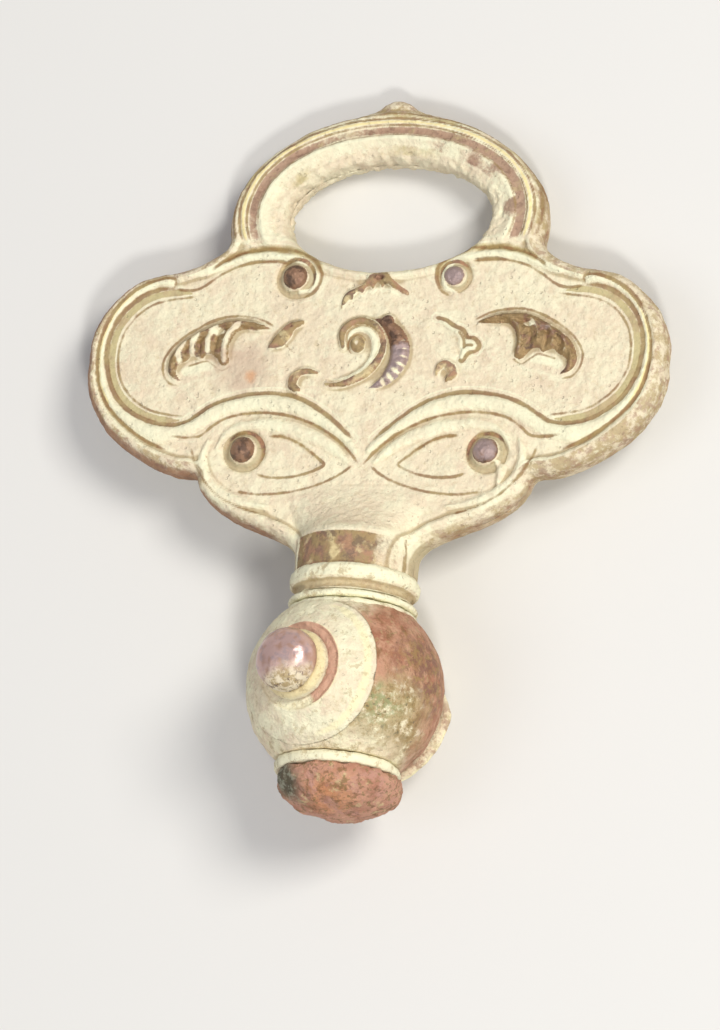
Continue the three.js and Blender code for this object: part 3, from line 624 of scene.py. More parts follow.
# The bow's relief, on a chart of heights over its middle plane
CELL = 0.05
CHART_LOW = (-21.0, 5.5)
CHART_HIGH = (21.0, 41.5)
chart_x, chart_y = np.meshgrid(
    np.arange(CHART_LOW[0], CHART_HIGH[0], CELL), np.arange(CHART_LOW[1], CHART_HIGH[1], CELL))


def window_round(xs, ys, reach):
    """The part of the chart round some points."""
    columns = [int((value - CHART_LOW[0]) / CELL) for value in (min(xs) - reach, max(xs) + reach)]
    rows = [int((value - CHART_LOW[1]) / CELL) for value in (min(ys) - reach, max(ys) + reach)]
    return slice(max(rows[0], 0), max(rows[1], 0) + 2), slice(max(columns[0], 0), max(columns[1], 0) + 2)


def nearest(line, reach):
    """How far each place on the chart is from a line, up to reach, and how far along the line that is."""
    away = np.full(chart_x.shape, float(reach))
    along = np.zeros(chart_x.shape)
    points = np.array([(point[0], point[1]) for point in line])
    steps = np.linalg.norm(np.diff(points, axis=0), axis=1)
    reached = np.concatenate([[0], np.cumsum(steps)])
    for (x0, y0), (x1, y1), start, step in zip(points, points[1:], reached, steps):
        if step == 0:
            continue
        window = window_round((x0, x1), (y0, y1), reach)
        px, py = chart_x[window] - x0, chart_y[window] - y0
        ux, uy = (x1 - x0) / step, (y1 - y0) / step
        part = np.clip(px * ux + py * uy, 0, step)
        distance = np.hypot(px - part * ux, py - part * uy)
        closer = distance < away[window]
        away[window] = np.where(closer, distance, away[window])
        along[window] = np.where(closer, (start + part) / reached[-1], along[window])
    return away, along


def depth_inside(points):
    """How deep each place on the chart lies inside a closed smooth line. It is below zero outside."""
    line = smooth_path(points, 4, closed=True)
    line.append(line[0])
    away, _ = nearest(line, 1.2)
    within = np.zeros(chart_x.shape, dtype=bool)
    window = window_round([point[0] for point in line], [point[1] for point in line], 0.2)
    across, up = chart_x[window], chart_y[window]
    for start, end in zip(line, line[1:]):
        if start.y != end.y:
            passes = (start.y > up) != (end.y > up)
            crossing = (end.x - start.x) * (up - start.y) / (end.y - start.y) + start.x
            within[window] ^= passes & (across < crossing)
    return np.where(within, away, -away)


def ease(value, low, high):
    """0 below low and 1 above high, with a soft start and end."""
    part = np.clip((value - low) / (high - low), 0, 1)
    return part * part * (3 - 2 * part)


def blurred(field, reach):
    """The chart softened over that distance."""
    half = max(1, round(3 * reach / CELL))
    weights = np.exp(-0.5 * (np.arange(-half, half + 1) * CELL / reach) ** 2)
    weights /= weights.sum()
    for axis in (0, 1):
        field = np.apply_along_axis(
            lambda row: np.convolve(np.pad(row, half, mode="edge"), weights, mode="valid"), axis, field)
    return field


def grainy(seed, reach):
    """A chart of random lumps of about that size, mostly between -1 and 1."""
    lumps = blurred(np.random.default_rng(seed).standard_normal(chart_x.shape), reach)
    return lumps / lumps.std() * 0.5


def patch_at(x, y, wide, high):
    """A soft round patch on the chart."""
    return np.exp(-((chart_x - x) / wide) ** 2 - ((chart_y - y) / high) ** 2)


def sides_of(points, mirror):
    return [points, [(-x, y) for x, y in points]] if mirror else [points]


# Levels of the bow's face over its middle plane
FIELD_LEVEL = 1.2
ROLL_TOP = 1.62
BAND_TOP = 1.46
LEAF_TOP = 1.62
# The ridge mark is the pale crust on raised tops together with a painted highlight on them.
MARKS = ("ridge", "olive", "line", "yellow", "worn", "tan", "violet", "purple", "rim", "green")


class Relief:
    """The height of the bow's face over its middle plane, and marks for how its crust is coloured and worn
    and where a highlight is painted on it.
    """

    def __init__(self, level):
        self.height = np.full(chart_x.shape, float(level))
        self.marks = {name: np.zeros(chart_x.shape) for name in MARKS}

    def mark(self, name, amount):
        self.marks[name] = np.maximum(self.marks[name], amount)

    def clear(self, name, amount):
        self.marks[name] = self.marks[name] * (1 - amount)

    def band(self, points, halves, top, mirror=True, mark=None, amount=1.0):
        """A rounded moulding along the points, with its half width from start to end."""
        for line in sides_of(points, mirror):
            away, along = nearest(smooth_path(line), max(halves) + 0.05)
            half = np.interp(along, np.linspace(0, 1, len(halves)), halves)
            round_over = np.sqrt(np.clip(1 - (away / np.maximum(half, 1e-3)) ** 2, 0, 1))
            raised = FIELD_LEVEL + (top - FIELD_LEVEL) * round_over
            self.height = np.where(away < half, np.maximum(self.height, raised), self.height)
            if mark:
                self.mark(mark, np.where(away < half, np.minimum(1, round_over * 1.6), 0) * amount)

    def groove(self, points, half, depth, mirror=True, mark=None, amount=1.0):
        """A soft groove along the points, which fades at both its ends."""
        for line in sides_of(points, mirror):
            away, along = nearest(smooth_path(line), half * 2.4)
            fade = np.minimum(1, np.minimum(along, 1 - along) * 12 + 0.55)
            cut = np.where(away < half * 2.4, np.exp(-(away / half) ** 2), 0) * fade
            self.height = self.height - depth * cut
            if mark:
                self.mark(mark, cut * amount)
                # Pale crust with a painted highlight along both sides of a marked groove.
                beside = np.exp(-((away - half * 2.0) / (half * 0.7)) ** 2) * (away < half * 2.4)
                self.mark("ridge", beside * amount * 0.62)

    def line(self, points, half, depth, amount, mirror=False):
        """A fine groove with dirt in it."""
        self.groove(points, half, depth, mirror, "line", amount)

    def shape(self, points, top, shoulder, mark, amount=1.0):
        """A raised flat shape with rounded shoulders."""
        depth = depth_inside(points)
        swell = np.sin(np.clip(depth / shoulder, 0, 1) * math.pi / 2)
        raised = FIELD_LEVEL + (top - FIELD_LEVEL) * swell
        self.height = np.where(depth > 0, np.maximum(self.height, raised), self.height)
        self.mark(mark, ease(depth, -0.06, 0.06) * amount)

    def eye(self, x, y, radius, top, violet):
        """A domed eye in a round bed, with a groove round it."""
        away = np.hypot(chart_x - x, chart_y - y)
        turn = np.arctan2(chart_y - y, (chart_x - x) * np.sign(x))
        groove = np.exp(-((away - radius * 1.42) / (radius * 0.2)) ** 2)
        self.height = self.height - 0.28 * groove
        shaded = 0.62 + 0.45 * np.cos(turn - math.radians(120))
        self.mark("tan", groove * shaded)
        bead = np.exp(-((away - radius * 1.14) / (radius * 0.1)) ** 2)
        self.mark("ridge", bead)
        self.clear("worn", ease(radius * 1.3 - away, 0, 0.1))
        inside = away < radius
        swell = np.sqrt(np.clip(1 - (away / radius) ** 2, 0, 1))
        seat = FIELD_LEVEL + 0.05
        self.height = np.where(inside, seat + (top - seat) * swell, self.height)
        pool = 1 - ease(away, radius * 0.88, radius * 1.02)
        self.mark("worn", pool)
        self.mark("violet", pool * violet)
        for name in ("line", "olive", "purple"):
            self.clear(name, pool)

    def cavity(self):
        """Where the face lies below what is round it."""
        return np.clip((blurred(self.height, 0.3) - blurred(self.height, 0.06)) / 0.1, 0, 1)


def plate_borders(relief, edge):
    """The plate's rolled edge, the crest that runs on round the lobe, and the sunk olive band inside it."""
    rolled = FIELD_LEVEL + (ROLL_TOP - FIELD_LEVEL) * np.sqrt(np.clip(1 - ((edge - 0.48) / 0.5) ** 2, 0, 1))
    relief.height = np.where(edge < 0.98, np.maximum(relief.height, rolled), relief.height)
    crest = [
        (0.5, 15.9), (1.4, 16.95), (2.7, 17.95), (4.2, 18.75), (5.8, 19.22), (7.4, 19.32), (9.0, 19.12),
        (10.5, 18.65), (11.7, 17.95), (12.9, 17.4), (14.3, 17.2), (15.7, 17.5), (17.0, 18.3), (18.1, 19.55),
        (18.72, 21.1), (18.88, 22.8), (18.68, 24.3), (18.1, 25.6), (17.3, 26.6), (16.3, 27.3), (15.2, 27.62),
        (14.3, 27.6)]
    widths = [0.25, 0.5, 0.6, 0.62, 0.6, 0.6, 0.62, 0.68, 0.72, 0.62, 0.4, 0.27, 0.24, 0.24, 0.22, 0.12]
    relief.band(crest, widths, BAND_TOP, mark="ridge", amount=0.6)
    upper_edge = [
        (0.75, 16.75), (1.4, 17.35), (2.2, 18.05), (3.1, 18.72), (4.2, 19.35), (5.4, 19.78), (6.7, 19.95),
        (8.1, 19.88), (9.5, 19.58), (10.8, 19.05), (11.8, 18.4), (12.7, 17.9), (13.8, 17.78), (15.0, 18.0),
        (16.2, 18.55), (17.3, 19.45), (18.05, 20.7), (18.42, 22.0), (18.5, 23.3), (18.2, 24.6), (17.5, 25.8),
        (16.4, 26.75), (15.3, 27.2), (14.3, 27.3)]
    relief.line(upper_edge, 0.2, 0.24, 1.15, True)
    sunk_band = [
        (12.9, 18.1), (14.0, 18.12), (15.2, 18.42), (16.3, 19.02), (17.2, 19.85), (17.82, 20.95),
        (18.1, 22.1), (18.1, 23.3), (17.82, 24.5), (17.15, 25.55), (16.2, 26.4), (15.1, 26.85),
        (14.0, 27.0), (12.9, 26.95)]
    for line in sides_of(sunk_band, True):
        away, along = nearest(smooth_path(line), 0.6)
        half = 0.27 * np.minimum(1, np.minimum(along, 1 - along) * 14 + 0.2)
        cut = 1 - ease(away, half * 0.7, half * 1.1)
        relief.height = relief.height - 0.14 * cut
        relief.mark("olive", cut)
    inner_edge = [
        (12.4, 18.35), (13.7, 18.5), (14.9, 18.75), (16.0, 19.35), (16.9, 20.2), (17.45, 21.2),
        (17.68, 22.3), (17.65, 23.4), (17.35, 24.4), (16.7, 25.35), (15.8, 26.05), (14.8, 26.42),
        (13.6, 26.6), (12.5, 26.75)]
    relief.line(inner_edge, 0.14, 0.1, 0.85, True)
    outer_line = [
        (14.2, 27.45), (14.15, 27.85), (14.7, 28.0), (15.7, 27.78), (16.8, 27.2), (17.75, 26.35),
        (18.45, 25.3), (18.9, 24.1), (19.08, 22.9), (19.02, 21.6), (18.72, 20.4), (18.1, 19.2),
        (17.2, 18.2), (16.1, 17.3), (14.9, 16.55), (13.7, 16.05)]
    relief.line(outer_line, 0.16, 0.2, 1.1, True)
    for line in sides_of(outer_line[3:12], True):
        away, _ = nearest(smooth_path([(x * 0.992, y) for x, y in line]), 0.4)
        relief.mark("yellow", np.exp(-(away / 0.12) ** 2))


def top_scroll(relief):
    """The band along the top of the plate, which curls round the upper eye."""
    band = [
        (13.4, 28.1), (12.2, 28.35), (11.0, 28.9), (9.7, 29.35), (8.2, 29.52), (6.8, 29.4), (5.6, 29.2),
        (4.7, 28.75), (4.35, 27.95), (4.65, 27.2), (5.4, 26.9)]
    relief.band(band, [0.1, 0.26, 0.34, 0.38, 0.36, 0.3, 0.26, 0.22, 0.1], 1.52, mark="ridge", amount=0.7)
    outer = [
        (5.2, 26.6), (4.45, 26.95), (4.05, 27.6), (4.0, 28.3), (4.35, 28.95), (5.0, 29.45), (6.1, 29.83),
        (7.4, 29.98), (8.7, 29.9), (9.9, 29.6), (10.9, 29.1), (11.6, 28.5)]
    relief.line(outer, 0.18, 0.2, 0.95, True)
    relief.groove(outer[3:11], 0.36, 0.06, mark="olive", amount=0.95)
    inner = [
        (6.4, 29.05), (7.6, 29.14), (8.9, 29.05), (10.1, 28.7), (11.2, 28.1), (12.1, 27.45), (13.0, 27.15),
        (14.1, 27.25)]
    relief.line(inner, 0.15, 0.15, 0.95, True)


def almonds(relief):
    """The pointed loops round the lower eyes, as fine lines with soft rolls between them."""
    upper = [
        (0.15, 15.0), (0.95, 15.95), (2.0, 16.85), (3.1, 17.55), (4.4, 18.1), (5.8, 18.45), (7.2, 18.58),
        (8.6, 18.5), (9.8, 18.15), (10.7, 17.55), (11.4, 17.0), (12.4, 16.9), (13.5, 16.98)]
    relief.line(upper, 0.15, 0.16, 0.95, True)
    lower = [(0.6, 14.95), (1.3, 14.4), (2.3, 13.85), (3.6, 13.4), (5.2, 13.05), (6.9, 12.95), (8.4, 13.15)]
    relief.line(lower, 0.15, 0.15, 0.9, True)
    roll = [
        (0.9, 15.1), (1.8, 15.95), (2.9, 16.65), (4.2, 17.2), (5.6, 17.6), (7.0, 17.75), (8.4, 17.65),
        (9.5, 17.1), (10.1, 16.1)]
    relief.band(roll, [0.12, 0.34, 0.42, 0.44, 0.42, 0.36, 0.3, 0.14], 1.42, mark="ridge", amount=0.55)
    inner = [
        (6.5, 16.98), (5.5, 16.9), (4.5, 16.5), (3.6, 15.9), (2.9, 15.35), (2.55, 15.0), (3.0, 14.7),
        (3.9, 14.35), (5.1, 14.12), (6.4, 14.15), (7.2, 14.4)]
    relief.line(inner, 0.15, 0.16, 0.92, True)
    relief.groove(inner[:5], 0.28, 0.03, mark="olive", amount=0.7)


def lower_border(relief):
    """The soft roll between the almonds and the lower edge."""
    roll = [(10.7, 16.7), (11.0, 15.4), (10.6, 14.1), (9.5, 13.05), (7.9, 12.4), (6.0, 12.05)]
    relief.band(roll, [0.1, 0.36, 0.4, 0.36, 0.1], 1.44, mark="ridge", amount=0.5)
    under_roll = [(11.9, 16.2), (11.5, 15.1), (10.8, 14.0), (9.8, 12.95), (8.3, 12.1), (6.6, 11.6)]
    relief.line(under_roll, 0.16, 0.14, 0.8, True)
    worn_tail = [(9.35, 15.1), (9.65, 14.4), (9.5, 13.7)]
    relief.band(worn_tail, [0.2, 0.34, 0.3, 0.1], 1.5, mirror=False, mark="violet", amount=0.85)


LEAF = [
    (7.0, 24.8), (8.0, 25.2), (9.0, 25.42), (10.1, 25.42), (11.1, 25.15), (12.0, 24.68), (12.8, 24.2),
    (13.5, 23.6), (13.98, 22.9), (14.12, 22.2), (13.95, 21.65), (13.5, 21.3), (13.0, 21.2),
    (13.35, 21.65), (13.42, 22.1), (13.1, 22.42), (12.75, 22.6), (12.45, 22.9), (12.05, 22.8),
    (11.7, 22.7), (11.4, 23.0), (11.05, 22.95), (10.75, 22.7), (10.45, 22.3), (10.1, 22.2),
    (9.75, 22.5), (9.88, 23.1), (9.85, 23.8), (9.6, 24.35), (9.1, 24.72), (8.3, 24.68), (7.7, 24.72)]
LEAF_RIBS = (
    [(9.3, 25.15), (9.95, 24.5), (10.2, 23.6), (10.15, 22.6)],
    [(10.9, 24.95), (11.35, 24.2), (11.35, 23.3)],
    [(12.1, 24.5), (12.45, 23.8), (12.4, 23.1)],
    [(13.0, 23.9), (13.35, 23.2), (13.25, 22.6)])
# Patches on the leaf: the bright one is a cream strip with a painted highlight, the others green and violet
# stains.
LEAF_STAINS_AND_HIGHLIGHT = (
    ((10.7, 24.62), 0.34, 0.16, "bright"), ((11.9, 24.35), 0.85, 0.3, "violet"),
    ((12.9, 23.4), 0.7, 0.5, "green"), ((10.2, 24.0), 0.6, 0.6, "green"))
LEAF_CLEFTS = (
    [(10.3, 25.0), (10.75, 24.3), (10.85, 23.3)],
    [(11.6, 24.75), (11.95, 24.0), (11.9, 23.05)],
    [(12.65, 24.2), (12.95, 23.5), (12.85, 22.75)])


def acanthus(relief, side, drop):
    """A leaf that springs from the middle, arches outwards and curls under at its end."""
    def at(points):
        return [(side * x, y - drop) for x, y in points]

    over_leaf = [
        (6.9, 25.0), (8.0, 25.5), (9.1, 25.72), (10.2, 25.72), (11.3, 25.4), (12.3, 24.9), (13.2, 24.3),
        (14.0, 23.5), (14.45, 22.6), (14.35, 21.7), (13.9, 21.1), (13.2, 20.9)]
    relief.line(at(over_leaf), 0.14, 0.1, 0.95)
    under_leaf = [(9.7, 22.3), (10.3, 21.95), (10.9, 22.3), (11.4, 22.6), (12.1, 22.45), (12.7, 22.25)]
    relief.line(at(under_leaf), 0.12, 0.08, 0.85)
    wear = 0.75 if side < 0 else 0.3
    relief.shape(at(LEAF), LEAF_TOP - 0.1, 0.3, "worn", 0.62 if side < 0 else 0.8)
    relief.shape(at(LEAF), LEAF_TOP - 0.1, 0.3, "green", 0.85)
    for rib in LEAF_RIBS:
        relief.band(at(rib), [0.12, 0.24, 0.26, 0.12], LEAF_TOP + 0.05, mirror=False)
        away = nearest(smooth_path(at(rib)), 0.5)[0]
        relief.clear("worn", np.exp(-(away / 0.13) ** 2) * wear)
    for cleft in LEAF_CLEFTS:
        relief.groove(at(cleft), 0.09, 0.2, mirror=False)
    spine = [
        (7.6, 24.95), (9.0, 25.15), (10.5, 25.05), (11.8, 24.5), (12.9, 23.8), (13.6, 22.9),
        (13.75, 22.0)]
    relief.band(at(spine), [0.06, 0.16, 0.18, 0.18, 0.16, 0.1], LEAF_TOP + 0.08, mirror=False)
    relief.groove(at([(8.2, 24.85), (9.3, 24.9), (10.6, 24.75), (11.8, 24.2), (12.8, 23.5)]), 0.08, 0.12,
                  mirror=False)
    for (x, y), wide, high, name in LEAF_STAINS_AND_HIGHLIGHT:
        pool = patch_at(side * x, y - drop, wide, high)
        # A cream strip with a painted highlight: the bare bronze taken off and ridge cream put on.
        if name == "bright":
            relief.clear("worn", pool)
            relief.mark("ridge", pool * 0.8)
        elif name == "green":
            relief.mark("green", pool)
        elif side > 0:
            relief.mark("violet", pool * 0.8)
    # A painted highlight on the field just below the leaf's lower edge.
    painted_highlight_under_leaf = [(10.9, 22.35), (11.9, 22.15), (12.7, 21.95), (13.0, 21.7)]
    relief.groove(at(painted_highlight_under_leaf), 0.42, 0.03, mirror=False, mark="ridge", amount=0.9)


SCROLL_MIDDLE = (0.2, 22.62)
CRESCENT_OUT = 2.45
CRESCENT_IN = 2.85
CRESCENT_WIDE = 1.4


def centre_scroll(relief):
    """The C-scroll in the middle: a stem that rises into a volute, and a beaded crescent on its back."""
    x, y = SCROLL_MIDDLE
    away_out = np.hypot(chart_x - x, chart_y - y)
    away_in = np.hypot(chart_x - (x + CRESCENT_OUT - CRESCENT_WIDE - CRESCENT_IN), chart_y - y)
    depth = np.minimum(CRESCENT_OUT - away_out, away_in - CRESCENT_IN)
    depth = np.where(chart_x > x - 0.2, depth, -1)
    swell = np.sin(np.clip(depth / 0.4, 0, 1) * math.pi / 2)
    relief.height = np.where(depth > 0, FIELD_LEVEL + 0.5 * swell, relief.height)
    body = ease(depth, -0.05, 0.05)
    turn = np.degrees(np.arctan2(chart_y - y, chart_x - x))
    # The crescent's bare bronze, darker towards its top, with a painted highlight in silver on its lower
    # right.
    relief.mark("worn", body * (0.62 + 0.38 * ease(turn, -35, 25)))
    relief.mark("violet", body * (1 - ease(turn, 5, 40)))
    blunt = (1 - ease(np.hypot(chart_x - 0.95, chart_y - 24.82), 0.4, 0.5)) * (chart_x > 0.6)
    relief.height = np.where(blunt > 0.5, np.maximum(relief.height, FIELD_LEVEL + 0.36), relief.height)
    relief.mark("worn", blunt)
    beads = 0.5 + 0.5 * np.cos(np.radians(turn * 24))
    on_rim = np.exp(-((away_out - CRESCENT_OUT + 0.32) / 0.3) ** 2) * (turn < 38) * (turn > -75)
    relief.height = relief.height + np.where(depth > 0, 0.16 * (beads - 0.6) * on_rim, 0)
    relief.clear("worn", (1 - beads) ** 3 * on_rim * 0.6)
    inner_line = [(0.55, 24.35), (1.1, 23.6), (1.3, 22.7), (1.15, 21.9), (0.75, 21.2)]
    relief.groove(inner_line, 0.09, 0.14, mirror=False)
    stem = [
        (-3.0, 20.55), (-2.4, 20.45), (-1.7, 20.55), (-0.9, 20.85), (-0.15, 21.3), (0.4, 21.95),
        (0.75, 22.75), (0.75, 23.5), (0.4, 24.25), (-0.2, 24.72), (-0.97, 24.9), (-1.7, 24.65),
        (-2.12, 24.05), (-2.0, 23.1)]
    relief.band(stem, [0.1, 0.24, 0.28, 0.3, 0.28, 0.24, 0.24, 0.26, 0.26, 0.26, 0.16], 1.55, mirror=False,
                mark="tan", amount=0.95)
    inner_turn = [
        (-2.5, 20.8), (-1.6, 20.95), (-0.75, 21.3), (-0.1, 21.9), (0.25, 22.7), (0.2, 23.5),
        (-0.2, 24.1), (-0.9, 24.35), (-1.5, 24.1), (-1.65, 23.6)]
    relief.band(inner_turn, [0.05, 0.16, 0.24, 0.3, 0.28, 0.2, 0.1], 1.44, mirror=False,
                mark="ridge", amount=0.9)
    away_stem = nearest(smooth_path(stem), 0.8)[0]
    relief.line([(px * 0.9 + 0.04, py * 0.9 + 2.25) for px, py in stem[5:]], 0.09, 0.12, 0.7)
    bud = np.hypot((chart_x + 1.0) * 1.15, chart_y - 23.3)
    bud_dome = 1.25 + 0.35 * np.sqrt(np.clip(1 - (bud / 0.58) ** 2, 0, 1))
    relief.height = np.where(bud < 0.58, bud_dome, relief.height)
    relief.mark("tan", (1 - ease(bud, 0.5, 0.72)) * (1 - 0.7 * np.exp(-(bud / 0.2) ** 2)))
    relief.mark("violet", (1 - ease(bud, 0.2, 0.5)) * 0.3)
    relief.mark("olive", np.exp(-((away_stem - 0.32) / 0.12) ** 2) * 0.6)
    relief.line([(-1.35, 22.6), (-1.7, 23.1), (-1.5, 23.75), (-0.9, 23.95), (-0.45, 23.5)], 0.1, 0.12, 0.9)


def small_ornaments(relief):
    """The palmette over the scroll, the sprays beside it and the curls under them."""
    palmette = [
        (-2.35, 25.95), (-2.4, 26.4), (-2.15, 26.85), (-1.7, 27.15), (-1.2, 27.4), (-0.8, 27.7),
        (-0.6, 28.05), (-0.25, 28.25), (0.1, 28.1), (0.4, 28.28), (0.75, 28.15), (0.95, 27.85),
        (1.3, 27.55), (1.7, 27.25), (2.15, 26.95), (2.2, 26.65), (1.75, 26.75), (1.4, 27.0),
        (1.0, 27.2), (0.75, 27.45), (0.45, 27.4), (0.3, 27.15), (0.1, 27.5), (-0.15, 27.5),
        (-0.3, 27.1), (-0.55, 27.3), (-0.85, 27.2), (-1.0, 26.85), (-1.3, 26.95), (-1.6, 26.8),
        (-1.65, 26.4), (-1.9, 26.35), (-2.1, 26.1)]
    relief.shape(palmette, 1.46, 0.22, "tan", 0.85)
    relief.band([(-0.75, 27.55), (-0.2, 27.9), (0.35, 27.9), (0.9, 27.55)], [0.16, 0.3, 0.32, 0.16], 1.6,
                mirror=False, mark="tan", amount=1.0)
    relief.mark("worn", patch_at(0.15, 27.85, 0.6, 0.3) * 0.75)
    relief.mark("violet", patch_at(0.5, 28.0, 0.3, 0.2) * 0.7)
    relief.band([(-1.55, 26.9), (-1.95, 26.7), (-2.1, 26.3)], [0.1, 0.22, 0.1], 1.54,
                mirror=False, mark="tan")
    relief.groove([(-1.7, 26.2), (-1.4, 26.7), (-0.9, 26.65), (-0.65, 27.05), (-0.3, 26.85), (0.05, 27.3),
                   (0.35, 26.95), (0.75, 27.2), (1.2, 26.85), (1.7, 26.55)], 0.12, 0.04, mirror=False,
                  mark="ridge", amount=0.9)
    for tail in ([(-1.9, 26.4), (-2.3, 26.1), (-2.4, 25.7)], [(1.0, 27.35), (1.5, 27.15), (1.9, 26.75)]):
        relief.band(tail, [0.1, 0.16, 0.06], 1.4, mirror=False)
        relief.line(tail, 0.12, 0.04, 0.7)
    spray = [(-5.0, 24.8), (-5.7, 24.5), (-6.1, 24.0), (-6.5, 23.5), (-7.1, 23.1)]
    relief.band(spray, [0.16, 0.34, 0.52, 0.5, 0.1], 1.58, mirror=False, mark="tan", amount=1.0)
    relief.mark("worn", patch_at(-5.6, 24.5, 0.3, 0.18) * 0.7)
    relief.mark("violet", patch_at(-6.3, 23.6, 0.45, 0.4) * 0.7)
    relief.line([(-6.1, 23.4), (-5.7, 23.0), (-5.3, 22.7)], 0.1, 0.05, 0.8)
    shell = [
        (4.2, 25.15), (4.9, 24.95), (5.5, 24.55), (6.15, 24.25), (6.5, 23.75), (7.0, 23.65), (7.38, 23.15),
        (7.15, 22.75), (6.65, 22.6), (6.3, 22.05), (6.05, 22.2), (6.1, 22.7), (5.8, 23.2), (5.85, 23.7),
        (5.35, 24.1), (4.75, 24.55)]
    relief.shape(shell, 1.46, 0.25, "ridge", 0.5)
    relief.line(shell[:8], 0.16, 0.12, 1.3)
    relief.line(shell[7:11], 0.14, 0.12, 1.2)
    for vein in ([(5.9, 24.1), (6.3, 23.5), (6.35, 22.9)], [(6.3, 23.1), (6.7, 23.15), (7.0, 23.1)]):
        relief.line(vein, 0.12, 0.08, 1.0)
    for curl, tone in (
            ([(-3.6, 21.3), (-4.2, 21.4), (-4.8, 21.35), (-5.2, 20.95), (-5.2, 20.4), (-4.75, 20.1)], 1.0),
            ([(4.6, 21.1), (4.75, 21.6), (5.15, 21.85), (5.6, 21.55), (5.7, 21.1), (5.35, 20.75)], 0.8)):
        relief.band(curl, [0.1, 0.24, 0.3, 0.36, 0.36, 0.16], 1.5, mirror=False, mark="tan", amount=tone)


# The ring: its section from the hole out, how strong its purple band is round it, and its lines' tones
RING_SECTION = (
    [0.0, 0.06, 0.2, 0.34, 0.4, 0.45, 0.5, 0.57, 0.64, 0.68, 0.735, 0.79, 0.82, 0.88, 0.94, 1.0],
    [0.85, 1.0, 1.3, 1.52, 1.68, 1.64, 1.46, 1.4, 1.44, 1.5, 1.66, 1.48, 1.54, 1.66, 1.5, 1.2])
PURPLE_ROUND = ([-40, 20, 50, 95, 120, 150, 165, 200], [0.7, 1.1, 1.0, 0.8, 0.5, 0.95, 1.0, 0.6])
RING_LINES = ((0.475, 0.75), (0.675, 0.9), (0.805, 1.1), (0.91, 0.9), (0.34, 0.45))


def across_ring(bore):
    """How far out each place is from the ring's hole to its outer edge, which is an ellipse too."""
    x, y = chart_x - HOLE_MIDDLE[0], chart_y - HOLE_MIDDLE[1]
    turn = np.arctan2(y / HOLE_HALF[1], x / HOLE_HALF[0])
    band = RING_SIDE + (RING_CROWN - RING_SIDE) * np.sin(turn) ** 2
    return np.clip(bore / band, 0, 1)


def ring_moulding(relief, across):
    """The ring's section: a bevel from the hole, a raised line, a hollow band, a line and a rolled rim."""
    section = np.interp(across, *RING_SECTION)
    on_ring = ease(chart_y - 0.12 * (np.abs(chart_x) - 8.6), 29.9, 30.9)
    relief.height = relief.height * (1 - on_ring) + section * on_ring
    # Pale crust with a painted highlight along the raised line of the hole's bevel and, more faintly, on the
    # bevel inside it.
    bright = np.exp(-((across - 0.42) / 0.04) ** 2)
    relief.mark("ridge", bright * on_ring)
    relief.mark("ridge", ease(across, 0.12, 0.3) * (1 - ease(across, 0.38, 0.44)) * on_ring * 0.55)
    turn = np.degrees(np.arctan2(chart_y - HOLE_MIDDLE[1], chart_x))
    broken = np.interp(turn, *PURPLE_ROUND)
    relief.mark("purple", (ease(across, 0.46, 0.52) - ease(across, 0.62, 0.68)) * on_ring * broken)
    # Purple-brown on the bevel from the right round to the upper right, where its pale ridge is also taken
    # off.
    right_bevel_purple = ease(turn, -14, 6) * (1 - ease(turn, 48, 70)) * (0.62 + 0.4 * grainy(14, 0.45))
    relief.mark("purple", ease(across, 0.14, 0.26) * (1 - ease(across, 0.6, 0.68)) * on_ring * right_bevel_purple)
    relief.clear("ridge", np.clip(right_bevel_purple, 0, 1) * on_ring * ease(across, 0.1, 0.2) * 0.7)
    relief.mark("yellow", np.exp(-((across - 0.738) / 0.034) ** 2) * on_ring * 1.1)
    bevel = ease(across, 0.02, 0.1) * (1 - ease(across, 0.25, 0.34))
    relief.mark("olive", bevel * on_ring * (0.4 + 0.5 * grainy(12, 0.6)))
    for place, tone in RING_LINES:
        relief.mark("line", np.exp(-((across - place) / 0.033) ** 2) * on_ring * tone)
    return on_ring


def sill(relief, bore, on_ring):
    """The thin rolled lip of the plate at the bottom of the ring's hole."""
    lip = np.sqrt(np.clip(1 - ((bore - 0.42) / 0.36) ** 2, 0, 1)) * (1 - on_ring)
    relief.height = np.maximum(relief.height, FIELD_LEVEL + 0.26 * lip)
    relief.mark("ridge", lip * 0.4)


def bow_relief(edge, bore):
    relief = Relief(FIELD_LEVEL)
    plate_borders(relief, edge)
    top_scroll(relief)
    almonds(relief)
    lower_border(relief)
    acanthus(relief, 1, 0.05)
    acanthus(relief, -1, 0.42)
    centre_scroll(relief)
    small_ornaments(relief)
    across = across_ring(bore)
    on_ring = ring_moulding(relief, across)
    sill(relief, bore, on_ring)
    relief.eye(5.25, 27.98, 0.72, 1.82, 1.0)
    relief.eye(-5.75, 27.95, 0.9, 1.95, 0.1)
    relief.eye(8.5, 15.85, 0.92, 2.05, 0.8)
    relief.eye(-8.2, 15.95, 0.92, 2.05, 0.45)
    on_plate = (1 - on_ring) * ease(chart_y, 12.5, 14.5)
    relief.mark("rim", (1 - ease(edge, 0.55, 0.9)) * on_plate)
    low_rim = (1 - ease(edge, 0.2, 0.6)) * (1 - ease(chart_y, 12.5, 14.5))
    relief.mark("rim", low_rim * ease(chart_y, 9, 10) * 0.7)
    relief.mark("rim", ease(across, 0.8, 0.92) * on_ring)
    relief.mark("olive", ease(across, 0.76, 0.86) * on_ring * (0.55 + 0.45 * grainy(8, 0.5)))
    relief.marks["cavity"] = relief.cavity()
    relief.marks["field"] = 1 - ease(np.abs(relief.height - FIELD_LEVEL), 0.02, 0.1)
    relief.height = blurred(relief.height, 0.055)
    relief.height = relief.height + 0.016 * grainy(3, 0.16) + 0.03 * grainy(4, 0.5)
    return relief


